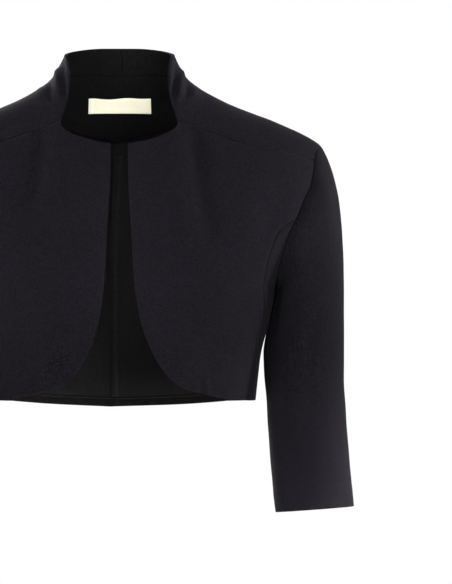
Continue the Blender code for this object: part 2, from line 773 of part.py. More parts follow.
def make_allowance(material):
    """Serged seam allowance that lies on the left back, beside the centre-back seam."""
    bottom = BACK_HEM[-1][1] + HEM_TURN + PIECE_INSET
    rows, columns = ALLOWANCE_GRID
    height = np.linspace(ALLOWANCE_TOP, bottom, rows + 1)
    start = seam_distance(height, 1) + SEAM_GAP
    across = start[:, None] + np.linspace(0, ALLOWANCE_WIDTH, columns + 1)
    grid = on_back(across, np.broadcast_to(height[:, None], across.shape))
    depth = WALL + LAYER_GAP
    return make_layer("back_seam_allowance", [(grid, True)], 1, material, depth, ALLOWANCE_WALL)


def make_hem_turnup(material):
    """Hem folded up inside, from one underarm panel round the back to the other."""
    half = seam(np.vstack([[FRONT_HEM_END], [SIDE_HEM_END], BACK_HEM[1:]]), TURNUP_COLUMNS)
    line = joined(half, mirrored(half[::-1], -1))
    angle = turn(line)
    height = line[:, 2] + np.linspace(HEM_TURN, PIECE_INSET, TURNUP_ROWS + 1)[:, None]
    grid = ring_point(np.broadcast_to(angle, height.shape), height)
    return make_layer("hem_turnup", [(grid, False)], 1, material, WALL + LAYER_GAP, FACING_WALL)


def clear_scene():
    """Removes every object of the scene."""
    for item in list(bpy.data.objects):
        bpy.data.objects.remove(item)


def main():
    clear_scene()
    collection = bpy.data.collections.new(COLLECTION)
    bpy.context.scene.collection.children.link(collection)
    outer = cloth_material(OUTER_CLOTH)
    inner = cloth_material(INNER_CLOTH)
    woven = cloth_material(LABEL_CLOTH)
    half = SEAM_GAP / 2
    neck_halves = []
    for side, word in ((1, "left"), (-1, "right")):
        seams = body_seams(side)
        front = pulled_in(front_grid(seams), right=half)
        yoke = slice(COLUMNS_NECKLINE, None)
        front[0, yoke] = pulled_in(front, top=half)[0, yoke]
        make_layer(f"front_{word}", [(front, False)], side, outer)
        under = pulled_in(side_grid(seams), top=half, left=half, right=half)
        make_layer(f"side_{word}", [(under, False)], side, outer)
        grids = back_grids(seams)
        make_back(f"back_{word}", grids, side, outer)
        make_sleeve(f"sleeve_{word}", seams, side, outer)
        make_collar_facing(f"collar_facing_{word}", grids[0], side, inner)
        neck_halves.append(neck_facing_blocks(grids, side))
    make_layer("neck_facing", joined_halves(*neck_halves), 1, inner, WALL + LAYER_GAP, FACING_WALL)
    make_label(woven, WALL + LAYER_GAP + FACING_WALL + LABEL_GAP)
    make_allowance(inner)
    make_hem_turnup(inner)


main()
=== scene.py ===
"""Bolero jacket with a funnel collar, dressed for close views.

Every piece of cloth is a surface worked out with numpy. The body's pieces lie on one smooth form, an
ellipse-like ring at each height, and each is a grid of two parameters stretched between its seams.
Sizes are in millimetres and are scaled to metres when a mesh is made. The front faces -Y, the
wearer's left is +X, and the origin is between the shoulders where the collar rises from them.
Seams are tables of distance from the middle and height, or of angle from the front and height.
"""

import sys
import logging
from dataclasses import dataclass
from enum import Enum
from typing import Sequence

import bpy
import numpy as np
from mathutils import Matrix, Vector


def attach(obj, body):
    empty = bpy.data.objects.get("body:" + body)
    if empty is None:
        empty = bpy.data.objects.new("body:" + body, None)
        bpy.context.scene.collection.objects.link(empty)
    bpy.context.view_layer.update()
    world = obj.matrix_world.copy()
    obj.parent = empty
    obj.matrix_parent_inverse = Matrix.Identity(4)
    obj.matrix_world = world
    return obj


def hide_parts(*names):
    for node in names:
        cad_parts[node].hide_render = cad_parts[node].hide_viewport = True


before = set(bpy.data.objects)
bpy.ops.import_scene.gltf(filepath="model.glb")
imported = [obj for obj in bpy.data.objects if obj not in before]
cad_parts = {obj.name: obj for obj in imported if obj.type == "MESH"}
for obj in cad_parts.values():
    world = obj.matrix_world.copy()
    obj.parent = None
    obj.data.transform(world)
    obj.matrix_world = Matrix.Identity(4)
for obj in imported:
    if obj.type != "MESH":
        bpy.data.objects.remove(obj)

Array = np.ndarray
Rows = Sequence[Sequence[float]]
Colour = tuple[float, float, float]
Object = bpy.types.Object
Node = bpy.types.Node
Tree = bpy.types.NodeTree
Socket = bpy.types.NodeSocket

MM = 0.001
REVERSED = [0, 3, 2, 1]
log = logging.getLogger("bolero")


# Shape of the body form and of its seams


def hermite(knots: Array, values: Array, at: Array) -> Array:
    """Smooth curve through values at rising knots.

    Each span is a cubic whose end slopes are the central differences of the rows beside it.

    Args:
        knots: Rising places of the rows.
        values: One row of values for each knot.
        at: Places at which the curve is wanted.

    Returns:
        The curve's values, with the shape of at followed by that of one row.
    """
    knots, values = np.asarray(knots, float), np.asarray(values, float)
    at = np.clip(at, knots[0], knots[-1])
    slopes = np.gradient(values, knots, axis=0)
    index = np.clip(np.searchsorted(knots, at, side="right") - 1, 0, len(knots) - 2)
    span = knots[index + 1] - knots[index]
    t = (at - knots[index]) / span
    shape = t.shape + (1,) * (values.ndim - 1)
    t, span = t.reshape(shape), span.reshape(shape)
    start = (1 + 2 * t) * (1 - t) ** 2 * values[index] + t * (1 - t) ** 2 * span * slopes[index]
    end = t * t * (3 - 2 * t) * values[index + 1] - t * t * (1 - t) * span * slopes[index + 1]
    return start + end


def lengths(points: Array, axis: int = 0) -> Array:
    """Distance walked along a line or a grid's lines, from 0, with the shape of points less its last axis."""
    steps = np.linalg.norm(np.diff(points, axis=axis), axis=-1)
    start = np.zeros_like(np.take(steps, [0], axis=axis))
    return np.concatenate([start, np.cumsum(steps, axis=axis)], axis=axis)


def unit(vectors: Array) -> Array:
    """The vectors at length 1."""
    return vectors / np.linalg.norm(vectors, axis=-1, keepdims=True)


def smooth_step(t: Array) -> Array:
    """0 below 0, 1 above 1, and a smooth cubic between."""
    t = np.clip(t, 0, 1)
    return t * t * (3 - 2 * t)


def bell(t: Array) -> Array:
    """1 at 0, and the exponential of minus the square beside it."""
    return np.exp(-(t**2))


def interpolate(at: Array, along: Array, values: Array) -> Array:
    """Rows of values at places, on a straight line between the rows beside each."""
    return np.stack([np.interp(at, along, column) for column in values.T], -1)


def power_reach(angle: Array, power: Array) -> Array:
    """Power mean of an angle's sine and cosine, by which they are divided on a super-ellipse."""
    return (np.abs(np.sin(angle)) ** power + np.abs(np.cos(angle)) ** power) ** (1 / power)


@dataclass(frozen=True)
class BodyForm:
    """Smooth form on which the body's cloth lies: a super-ellipse at each height.

    Its value is the power mean of x over the half width and of y over the front or back depth, less 1.
    """

    # Height, half width, front depth, back depth, power
    rings: Rows = (
        (45.0, 53.0, 45.0, 44.0, 2.0),
        (29.0, 57.5, 47.0, 48.0, 2.0),
        (16.5, 63.4, 48.5, 51.5, 2.0),
        (8.2, 68.2, 49.5, 54.0, 2.0),
        (0.0, 76.8, 50.5, 57.5, 2.0),
        (-8.2, 89.2, 51.5, 62.0, 2.0),
        (-16.5, 104.7, 52.5, 66.5, 2.0),
        (-24.7, 123.2, 53.5, 70.5, 2.0),
        (-37.0, 156.1, 56.0, 76.5, 2.0),
        (-49.4, 184.0, 60.5, 82.0, 2.0),
        (-61.8, 205.6, 67.0, 87.0, 2.0),
        (-80.0, 214.5, 77.0, 92.5, 2.03),
        (-100.0, 216.5, 88.0, 97.0, 2.1),
        (-118.0, 213.0, 97.0, 100.5, 2.15),
        (-137.0, 206.0, 105.5, 102.5, 2.2),
        (-150.0, 199.0, 110.5, 103.5, 2.25),
        (-168.0, 187.0, 116.0, 104.0, 2.3),
        (-188.0, 171.0, 120.5, 103.5, 2.3),
        (-207.0, 161.5, 122.0, 102.5, 2.3),
        (-222.0, 159.6, 121.5, 101.0, 2.3),
        (-246.0, 154.3, 119.5, 98.5, 2.3),
        (-273.0, 147.2, 115.5, 95.5, 2.3),
        (-300.0, 143.0, 111.5, 92.5, 2.3),
        (-345.0, 139.2, 106.5, 88.5, 2.3),
    )

    def sizes(self, height: Array) -> Array:
        """Half width, front depth, back depth and power at each height."""
        table = np.array(self.rings)[::-1]
        return np.moveaxis(hermite(table[:, 0], table[:, 1:], np.asarray(height, float)), -1, 0)

    def value(self, points: Array) -> Array:
        """Zero on the form, positive outside it."""
        x, y, z = np.moveaxis(points, -1, 0)
        half_width, front, back, power = self.sizes(z)
        depth = np.where(y < 0, front, back)
        return ((np.abs(x) / half_width) ** power + (np.abs(y) / depth) ** power) ** (1 / power) - 1

    def slope(self, points: Array, step: float = 0.05) -> Array:
        """Gradient of value, by central differences over twice the step."""
        moves = np.eye(3) * step
        sides = [self.value(points + move) - self.value(points - move) for move in moves]
        return np.stack(sides, -1) / (2 * step)

    def onto(self, points: Array, rounds: int = 4) -> Array:
        """The points moved along the slope, by value over slope, until they lie on the form."""
        for _ in range(rounds):
            slope = self.slope(points)
            points = points - slope * (self.value(points) / (slope**2).sum(-1))[..., None]
        return points

    def outward(self, points: Array) -> Array:
        """Unit direction away from the form."""
        return unit(self.slope(points))

    def point(self, angle: Array, height: Array) -> Array:
        """Point at an angle in degrees from the front middle, and a height.

        The angle's sine and cosine are divided by their power mean and multiplied by the ring's sizes.
        """
        angle, height = np.radians(angle), np.asarray(height, float)
        half_width, front, back, power = self.sizes(height)
        depth = np.where(np.cos(angle) > 0, front, back)
        reach = power_reach(angle, power)
        return np.stack([half_width * np.sin(angle) / reach, -depth * np.cos(angle) / reach, height], -1)

    def angle(self, across: Array, height: Array, back: bool = False) -> Array:
        """Angle in degrees at which the ring at a height has a distance from the middle."""
        half_width, _, _, power = self.sizes(height)
        share = np.clip(np.asarray(across, float) / half_width, -1, 1)
        angle = np.degrees(np.arctan2(share, (1 - np.abs(share) ** power) ** (1 / power)))
        return 180 - angle if back else angle

    def seen(self, rows: Rows, back: bool = False) -> Array:
        """Rows of distance and height, turned into rows of angle and height."""
        rows = np.array(rows, float)
        return np.stack([self.angle(rows[:, 0], rows[:, 1], back), rows[:, 1]], -1)

    def turn(self, points: Array) -> Array:
        """Angle in degrees from the front middle, for points on the form."""
        angle = self.angle(points[..., 0], points[..., 2])
        return np.where(points[..., 1] < 0, angle, 180 - angle)

    def on_back(self, across: Array, height: Array) -> Array:
        """Point of the back at a distance from the middle and a height."""
        return self.point(self.angle(across, height, back=True), height)


@dataclass(frozen=True)
class Run:
    """One run of a seam: a dense line of points, counted in even steps."""

    points: Array
    steps: int

    def at(self, places: Array) -> Array:
        """Points at places counted in steps, by distance along the line."""
        along = lengths(self.points)
        wanted = np.clip(np.asarray(places, float) / self.steps, 0, 1) * along[-1]
        return interpolate(wanted, along, self.points)


@dataclass(frozen=True)
class Chain:
    """Runs end to end."""

    runs: tuple[Run, ...]

    @classmethod
    def of(cls, runs: dict[str, Run], names: str) -> "Chain":
        """Chain of the runs with these names, which have spaces between."""
        return cls(tuple(runs[name] for name in names.split()))

    @property
    def steps(self) -> int:
        """Steps of all runs together."""
        return sum(run.steps for run in self.runs)

    def at(self, places: Array) -> Array:
        """Points at places counted in steps from the start."""
        places = np.asarray(places, float)
        points = np.zeros(places.shape + (3,))
        first = 0
        for run in self.runs:
            inside = places >= first
            points[inside] = run.at(places[inside] - first)
            first += run.steps
        return points


@dataclass(frozen=True)
class Counts:
    """Steps of the seams, which set how the panels' grids meet."""

    collar: int = 3
    strip: int = 3
    neck: int = 10
    yoke: int = 9
    neckline: int = 6
    shoulder: int = 2
    back_armhole: int = 7
    front_armhole: int = 5
    side_rows: int = 12
    side_columns: int = 10
    neck_facing: int = 4


@dataclass(frozen=True)
class SeamPlan:
    """Every seam of the jacket, as rows of distance or angle and height.

    A row of front_edge is the height and the distance on the wearer's left and right, and one of
    centre_back is the height and the distance towards the wearer's left.
    """

    form: BodyForm = BodyForm()
    counts: Counts = Counts()
    dense: int = 400
    collar_edge: Rows = (
        (56.3, 29.9), (54.0, 23.5), (52.4, 15.0), (52.1, 5.0),
        (52.3, -6.5), (54.0, -17.0), (57.0, -28.0), (60.2, -38.0),
    )
    neckline: Rows = ((28.4, -57.8), (41.8, -53.6), (53.1, -48.4), (59.2, -43.0), (60.2, -38.0))
    yoke: Rows = (
        (60.2, -38.0), (73.7, -43.0), (102.6, -53.0), (128.3, -62.0),
        (152.0, -68.0), (181.4, -72.0), (199.9, -79.0),
    )
    armhole_front: Rows = (
        (203.4, -69.0), (201.0, -83.0), (199.0, -95.0), (196.2, -107.0), (191.2, -118.0),
        (183.2, -137.5), (176.5, -150.0), (170.6, -166.5), (165.0, -186.4), (161.5, -203.0),
    )
    armhole_back: Rows = (
        (205.0, -69.0), (203.3, -83.0), (199.8, -107.0), (189.5, -137.5),
        (182.5, -152.0), (174.0, -168.5), (167.5, -187.0), (162.5, -201.0),
    )
    shoulder_point: tuple[float, float] = (90.0, -63.4)
    armpit: tuple[float, float] = (90.0, -207.0)
    princess_top: float = -137.5
    side_top: float = -152.0
    collar_top: Rows = ((180.0, 37.4), (152.0, 36.9), (122.0, 34.0), (100.0, 31.6), (90.0, 30.7))
    collar_seam: Rows = ((180.0, 10.0), (150.0, 10.0), (120.0, 9.5), (90.0, 8.5), (68.0, 7.0))
    neck_base: Rows = ((180.0, -2.0), (150.0, -1.0), (120.0, 0.0), (90.0, -1.0), (59.0, -8.2), (37.5, -20.0))
    princess: Rows = (
        (56.7, -143.0), (54.1, -149.5), (53.4, -161.0), (55.8, -177.0), (60.2, -192.0), (64.0, -207.0),
        (65.5, -222.0), (68.0, -237.0), (73.0, -253.0), (81.5, -269.0), (90.0, -285.0), (97.0, -305.0),
        (100.0, -325.6),
    )
    side_seam: Rows = (
        (119.0, -165.0), (123.5, -190.0), (127.0, -225.0), (129.0, -265.0), (130.0, -300.0), (130.5, -326.8),
    )
    front_edge: Rows = (
        (-61.1, 9.0, 8.4), (-113.0, 10.1, 9.5), (-150.0, 12.6, 11.7), (-171.0, 14.0, 12.7),
        (-195.0, 15.2, 13.9), (-215.0, 17.0, 15.5), (-228.0, 19.2, 17.4), (-252.0, 24.5, 22.0),
        (-275.0, 33.6, 30.0), (-290.0, 42.2, 37.6), (-303.0, 52.6, 49.0),
    )
    front_hem: Rows = ((60.5, -310.3), (85.8, -318.4), (106.0, -323.4), (125.0, -325.2))
    front_hem_end: tuple[float, float] = (100.0, -325.6)
    side_hem_end: tuple[float, float] = (130.5, -326.8)
    back_hem: Rows = ((130.5, -326.8), (150.0, -330.0), (180.0, -333.0))
    centre_back: Rows = (
        (45.0, 1.0), (8.0, 2.5), (-2.0, 2.0), (-40.0, -2.5), (-90.0, -7.0),
        (-140.0, -10.3), (-220.0, -11.6), (-300.0, -10.4), (-340.0, -9.5),
    )

    def line(self, rows: Array) -> Array:
        """Dense line on the form through rows of angle and height, smooth by distance along it."""
        rows = np.array(rows, float)
        along = lengths(self.form.point(rows[:, 0], rows[:, 1]))
        dense = hermite(along, rows, np.linspace(0, along[-1], self.dense))
        return self.form.point(dense[:, 0], dense[:, 1])

    def seam_distance(self, height: Array, side: int) -> Array:
        """Distance of the centre-back seam from the middle, towards a side, at a height."""
        table = np.array(self.centre_back)[::-1]
        return hermite(table[:, 0], table[:, 1], np.asarray(height, float)) * side

    def back_run(self, top: float, bottom: float, steps: int, side: int) -> Run:
        """The centre-back seam between two heights, for the half on a side."""
        height = np.linspace(top, bottom, self.dense)
        return Run(self.form.on_back(self.seam_distance(height, side), height), steps)

    def run(self, steps: int, *rows: Rows) -> Run:
        """Seam through tables of angle and height, one after another."""
        return Run(self.line(np.vstack(rows)), steps)

    def from_back(self, table: Rows, side: int, last: Rows, steps: int) -> Run:
        """Seam that starts on the centre-back seam, at the first row's height."""
        height = table[0][1]
        start = (self.form.angle(self.seam_distance(height, side), height, back=True), height)
        return self.run(steps, [start], table[1:], last)

    def row(self, point: Array, back: bool = False) -> tuple[float, float]:
        """Angle and height of a point on the form."""
        return float(self.form.angle(point[0], point[2], back)), float(point[2])

    def armhole(self) -> dict[str, Run]:
        """The armhole in four runs: over the shoulder, down the front, under the arm, and the back.

        Two of them are also there from their lower ends.
        """
        form, counts = self.form, self.counts
        front = self.line(np.vstack([[self.shoulder_point], form.seen(self.armhole_front), [self.armpit]]))
        back_rows = form.seen(self.armhole_back, back=True)
        back = self.line(np.vstack([[self.shoulder_point], back_rows, [self.armpit]]))
        to_yoke = np.argmin(np.abs(front[:, 2] - self.yoke[-1][1]))
        to_princess = np.argmin(np.abs(front[:, 2] - self.princess_top))
        to_side = np.argmin(np.abs(back[:, 2] - self.side_top))
        under = np.vstack([front[to_princess:], back[to_side:-1][::-1]])
        return {
            "shoulder": Run(front[: to_yoke + 1], counts.shoulder),
            "front": Run(front[to_yoke : to_princess + 1], counts.front_armhole),
            "under": Run(under, counts.side_columns),
            "back": Run(back[: to_side + 1], counts.back_armhole),
            "shoulder_up": Run(front[: to_yoke + 1][::-1], counts.shoulder),
            "back_up": Run(back[: to_side + 1][::-1], counts.back_armhole),
        }

    def half(self, side: int) -> dict[str, Run]:
        """Every seam and edge of one half, as runs on the wearer's left.

        Args:
            side: 1 for the wearer's left half, -1 for the right, whose front edge differs a little.

        Returns:
            The runs by name.
        """
        form, counts = self.form, self.counts
        runs = self.armhole()
        under = runs["under"].points
        collar_edge = self.line(form.seen(self.collar_edge))
        seam_end = np.argmin(np.abs(collar_edge[:, 2] - self.collar_seam[-1][1]))
        across = (
            ("collar_top", self.collar_top, 0),
            ("collar_seam", self.collar_seam, seam_end),
            ("neck_base", self.neck_base, -1),
        )
        for name, table, end in across:
            runs[name] = self.from_back(table, side, [self.row(collar_edge[end])], counts.neck)
        heights = [table[0][1] for _, table, _ in across] + [self.back_hem[-1][1]]
        names = ("back_high", "back_mid", "back_low")
        steps = (counts.collar, counts.strip, counts.shoulder + counts.back_armhole + counts.side_rows)
        for name, top, bottom, count in zip(names, heights, heights[1:], steps):
            runs[name] = self.back_run(top, bottom, count, side)
        yoke = form.seen(self.yoke)
        yoke[-1] = self.row(runs["front"].points[0])
        edge = form.seen([(row[1 if side > 0 else 2], row[0]) for row in self.front_edge])
        whole = self.line(np.vstack([edge, form.seen(self.front_hem), [self.front_hem_end]]))
        split = np.argmin(np.linalg.norm(whole - form.point(*edge[-1]), axis=1))
        runs.update(
            collar_edge_high=Run(collar_edge[: seam_end + 1], counts.collar),
            collar_edge_low=Run(collar_edge[seam_end:], counts.strip),
            yoke=self.run(counts.yoke, yoke),
            neckline=self.run(counts.neckline, edge[:1], form.seen(self.neckline)),
            front_edge=Run(whole[: split + 1], counts.front_armhole + counts.side_rows),
            front_hem=Run(whole[split:], counts.neckline + counts.yoke),
            princess=self.run(counts.side_rows, [self.row(under[0])], self.princess),
            side_seam=self.run(counts.side_rows, [self.row(under[-1], back=True)], self.side_seam),
            side_hem=self.run(counts.side_columns, [self.front_hem_end, self.side_hem_end]),
            back_hem=self.from_back(self.back_hem[:0:-1], side, self.back_hem[:1], counts.neck + counts.yoke),
        )
        return runs


@dataclass(frozen=True)
class Patch:
    """Grid stretched between four chains and laid on the form."""

    form: BodyForm
    top: Chain
    bottom: Chain
    left: Chain
    right: Chain
    relax_rounds: int = 12

    def coarse(self) -> Array:
        """Grid with one cell a step.

        It is the sum of the two blends between facing edges, less the blend of the corners. Each inner
        point then moves to the mean of its neighbours a few times.
        """
        top, bottom = (line.at(np.arange(line.steps + 1)) for line in (self.top, self.bottom))
        left, right = (line.at(np.arange(line.steps + 1)) for line in (self.left, self.right))
        u = np.linspace(0, 1, len(top))[None, :, None]
        v = np.linspace(0, 1, len(left))[:, None, None]
        grid = (1 - v) * top[None] + v * bottom[None] + (1 - u) * left[:, None] + u * right[:, None]
        corners = (1 - u) * ((1 - v) * top[0] + v * bottom[0]) + u * ((1 - v) * top[-1] + v * bottom[-1])
        grid = grid - corners
        grid[:, 0], grid[:, -1], grid[0], grid[-1] = left, right, top, bottom
        for _ in range(self.relax_rounds):
            inside = (grid[:-2, 1:-1] + grid[2:, 1:-1] + grid[1:-1, :-2] + grid[1:-1, 2:]) / 4
            grid[1:-1, 1:-1] = self.form.onto(inside, 2)
        grid[1:-1, 1:-1] = self.form.onto(grid[1:-1, 1:-1])
        return grid

    def at(self, rows: Array, columns: Array) -> Array:
        """Fine grid: cubics through the coarse one, with its edges moved onto the chains.

        What an edge is off by fades to nothing over the first step of the grid.

        Args:
            rows: Places of the rows, in steps from the top.
            columns: Places of the columns, in steps from the left.

        Returns:
            Points, rows by columns by 3.
        """
        coarse = self.coarse()
        tall = hermite(np.arange(coarse.shape[0]), coarse, rows)
        fine = hermite(np.arange(coarse.shape[1]), tall.swapaxes(0, 1), columns).swapaxes(0, 1)
        fine = self.form.onto(fine, 3)
        down, along = np.asarray(rows)[:, None, None], np.asarray(columns)[None, :, None]
        near = (
            (self.top.at(columns)[None] - fine[:1], 1 - down),
            (self.bottom.at(columns)[None] - fine[-1:], 1 - (self.left.steps - down)),
            (self.left.at(rows)[:, None] - fine[:, :1], 1 - along),
            (self.right.at(rows)[:, None] - fine[:, -1:], 1 - (self.top.steps - along)),
        )
        moved = fine + sum(off * smooth_step(share) for off, share in near)
        fine = self.form.onto(moved, 2)
        fine[0], fine[-1] = self.top.at(columns), self.bottom.at(columns)
        fine[:, 0], fine[:, -1] = self.left.at(rows), self.right.at(rows)
        return fine


def joined(*runs: Array) -> Array:
    """Places of all runs in rising order, each once."""
    return np.unique(np.round(np.concatenate(runs), 5))


def places(steps: int, per_step: int = 4, close: Sequence[float] = (0.012, 0.035, 0.07, 0.13)) -> Array:
    """Places along a run of grid steps, closer together near both ends."""
    even = np.arange(steps * per_step + 1) / per_step
    near = np.array(close)
    return joined(even, near, steps - near)


# Cloth


class Edge(Enum):
    """How an edge of a grid is finished."""

    SHARED = "goes on in another grid of the same piece"
    SEWN = "rolls down into a seam"
    TURNED = "folded over and rounded"
    CUT = "cut or serged, and thin"


SHARED, SEWN, TURNED, CUT = Edge


class Side(Enum):
    """The half of the jacket that a piece belongs to."""

    LEFT = 1
    RIGHT = -1

    @property
    def word(self) -> str:
        """The side's name in lower case."""
        return self.name.lower()

    @property
    def flip(self) -> Array:
        """What a point of the left half is multiplied by to lie on this side."""
        return np.array([self.value, 1.0, 1.0])

    def names(self, *words: str) -> list[str]:
        """Names of this side's pieces or nodes."""
        return [f"{word}_{self.word}" for word in words]


@dataclass(frozen=True)
class Crease:
    """Soft trough or ridge between two points, as seen from the front.

    Its depth falls off as a bell curve with the distance from the line. Along the line it is divided
    by the exponential of a fourth power over end_width, so that its ends fade.
    """

    start: tuple[float, float]
    end: tuple[float, float]
    half_width: float
    depth: float
    back: bool = False
    end_width: float = 1.6

    def press(self, points: Array) -> Array:
        """Depth to press inwards at each point."""
        start = np.array(self.start)
        run = np.array(self.end) - start
        flat = np.stack([points[..., 0], points[..., 2]], -1) - start
        share = (flat @ run) / (run @ run)
        off = np.linalg.norm(flat - np.clip(share, 0, 1)[..., None] * run, axis=-1)
        fade = np.exp(-(np.clip(np.abs(share - 0.5) * 2, 0, 3) ** 4) / self.end_width)
        here = points[..., 1] > 0 if self.back else points[..., 1] < 0
        return self.depth * bell(off / self.half_width) * fade * here


# Start across and up, end across and up, half width, depth
FRONT_CREASES: Rows = (
    # Collar, wearer's left and right
    (61.0, 26.0, 55.5, -16.0, 2.8, 3.0),
    (66.0, 16.0, 61.0, -12.0, 2.6, -2.2),
    (71.5, 4.0, 69.0, -14.0, 2.6, 1.7),
    (78.0, -3.0, 77.0, -15.0, 2.6, -1.3),
    (88.0, -12.0, 84.0, -28.0, 4.0, 1.0),
    (-60.0, 26.0, -56.0, -14.0, 2.8, 2.6),
    (-65.5, 18.0, -62.0, -10.0, 2.8, -2.2),
    (-71.5, 4.0, -71.0, -15.0, 2.8, 1.8),
    (-81.0, -4.0, -80.0, -19.0, 3.4, -1.1),
    # Long soft troughs that fall from the end of the collar
    (74.0, -44.0, 92.0, -156.0, 9.0, 2.4),
    (-78.0, -46.0, -86.0, -124.0, 8.5, 2.2),
    (56.0, -70.0, 66.0, -170.0, 10.0, -1.2),
    # Front, from the shoulder towards the bust and under the arm
    (168.0, -96.0, 146.0, -168.0, 13.0, 1.5),
    (-170.0, -92.0, -150.0, -160.0, 12.0, 1.3),
    (150.0, -196.0, 120.0, -236.0, 10.0, 1.2),
    (-147.0, -200.0, -122.0, -232.0, 9.0, 1.0),
    (92.0, -250.0, 78.0, -322.0, 16.0, 1.5),
    (-96.0, -246.0, -86.0, -324.0, 15.0, 1.7),
    (128.0, -258.0, 122.0, -326.0, 12.0, -1.1),
    (-126.0, -262.0, -122.0, -326.0, 11.0, -0.9),
    # Small puckers at the front hem
    (86.6, -306.0, 86.2, -324.0, 2.0, 2.2),
    (90.8, -308.0, 90.2, -324.0, 2.2, -1.4),
    (-86.4, -308.0, -86.6, -323.0, 2.0, 1.9),
    (-90.4, -309.0, -90.2, -323.0, 2.2, -1.2),
)
BACK_CREASES: Rows = (
    # Back, from the arms towards the waist
    (160.0, -118.0, 118.0, -190.0, 9.5, 2.4),
    (-163.0, -112.0, -124.0, -184.0, 9.0, 2.6),
    (148.0, -150.0, 112.0, -214.0, 8.0, -1.3),
    (104.0, -196.0, 84.0, -300.0, 11.0, 2.3),
    (-108.0, -202.0, -90.0, -316.0, 10.5, 2.1),
    (42.0, -244.0, 36.0, -326.0, 10.0, 1.8),
    (-52.0, -236.0, -44.0, -326.0, 9.5, 2.0),
    # Beside the centre-back seam, which stands a little inwards
    (-5.0, -140.0, -4.0, -326.0, 5.0, 2.4),
    (-12.5, -190.0, -11.5, -328.0, 3.6, -2.0),
    # Across the shoulders, below the collar
    (58.0, -26.0, 96.0, -46.0, 7.0, 1.5),
    (-60.0, -24.0, -92.0, -46.0, 7.0, 1.6),
    (34.0, -66.0, 60.0, -120.0, 10.0, 1.4),
    (-38.0, -70.0, -58.0, -132.0, 9.0, 1.5),
)


@dataclass(frozen=True)
class Ripple:
    """Uneven waves: the mean of sines of the place along a few fixed slanted directions.

    Args:
        size: Rough length of a wave in millimetres.
        seed: Shift that makes one set of waves unlike another.
    """

    size: float
    seed: float
    count: int = 7
    turn: float = 2.399963
    rise: float = 0.8
    stretch: tuple[float, float] = (0.7, 1.35)
    phase: float = 3.1
    gain: float = 1.6

    def at(self, points: Array) -> Array:
        """Height of the waves at each point, from about -1 to 1."""
        angles = np.arange(self.count) * self.turn + self.seed
        rise = np.linspace(-self.rise, self.rise, self.count)
        axes = np.stack([np.cos(angles), np.sin(angles), rise], -1)
        axes = axes * 2 * np.pi / self.size * np.linspace(*self.stretch, self.count)[:, None]
        return np.sin(points @ axes.T + angles * self.phase).mean(-1) * self.gain


@dataclass(frozen=True)
class Drape:
    """What all layers of the body's cloth share: creases, and slow waves of small height."""

    form: BodyForm
    wave: float = 0.32
    ripple: Ripple = Ripple(46.0, 0.7)

    def surface(self, points: Array) -> Array:
        """The form's points pressed in by every crease and by the waves, along the form's normal."""
        tables = ((FRONT_CREASES, False), (BACK_CREASES, True))
        creases = [Crease(row[:2], row[2:4], *row[4:], back) for table, back in tables for row in table]
        press = sum(crease.press(points) for crease in creases)
        press = press + self.wave * (1 + self.ripple.at(points))
        return points - self.form.outward(points) * press[..., None]


@dataclass(frozen=True)
class Layer:
    """Where a piece of cloth lies in the stack, from the outer surface inwards.

    The shares say how much of a seam's roll each face takes. A lining's inner face rolls outwards.
    """

    depth: float = 0.0
    thickness: float = 1.7
    roll: float = 0.8
    roll_width: float = 0.6
    dip: float = 0.16
    dip_width: float = 3.0
    outer_share: float = 1.0
    inner_share: float = 0.25
    fold_share: float = 0.82
    cut_share: float = 0.5

    def seam_depth(self, distance: Array) -> Array:
        """Depth near a seam: a narrow bell into the seam, and a wide shallow one beside it."""
        return self.roll * bell(distance / self.roll_width) + self.dip * bell(distance / self.dip_width)

    def rounding(self, distance: Array) -> Array:
        """How far both faces close in at a folded edge: a quarter circle of half the thickness."""
        radius = self.thickness / 2
        rest = 1 - np.clip(distance / radius, 0, 1)
        return self.fold_share * radius * (1 - np.sqrt(1 - rest**2))

    def depths(self, roll: Array, close: Array) -> tuple[Array, Array]:
        """How deep the outer and the inner face go, where the cloth rolls and its faces close in."""
        return self.outer_share * roll + close, self.inner_share * roll - close


@dataclass
class Block:
    """One grid of a piece, with its outer and inner points and its flat coordinates."""

    outer: Array
    inner: Array
    flat: Array
    turned: bool = False

    def mirrored(self, side: Side) -> "Block":
        """The block on a side, with its faces turned round for the other one."""
        turned = self.turned != (side is Side.RIGHT)
        return Block(self.outer * side.flip, self.inner * side.flip, self.flat, turned)

    def sink(self, normal: Array, outer: Array, inner: Array) -> None:
        """Moves each face against the normal by its own depth."""
        self.outer -= normal * outer[..., None]
        self.inner -= normal * inner[..., None]


@dataclass
class Flat:
    """Size to which a piece was cut: the longest row and column, and the area of its cloth.
    """

    width: float
    length: float
    area: float
    least: float = 10.0

    @classmethod
    def of(cls, grids: Sequence[Array]) -> "Flat":
        """Cut of a piece whose grids lie one under another.

        The area of a grid is half the cross product of each cell's diagonals, summed.
        """
        width = max(lengths(grid, 1)[:, -1].max() for grid in grids)
        length = sum(lengths(grid, 0)[-1].max() for grid in grids)
        area = 0.0
        for grid in grids:
            one, two = grid[1:, 1:] - grid[:-1, :-1], grid[1:, :-1] - grid[:-1, 1:]
            area += np.linalg.norm(np.cross(one, two), axis=-1).sum() / 2
        return cls(max(float(width), cls.least), max(float(length), cls.least), float(area))


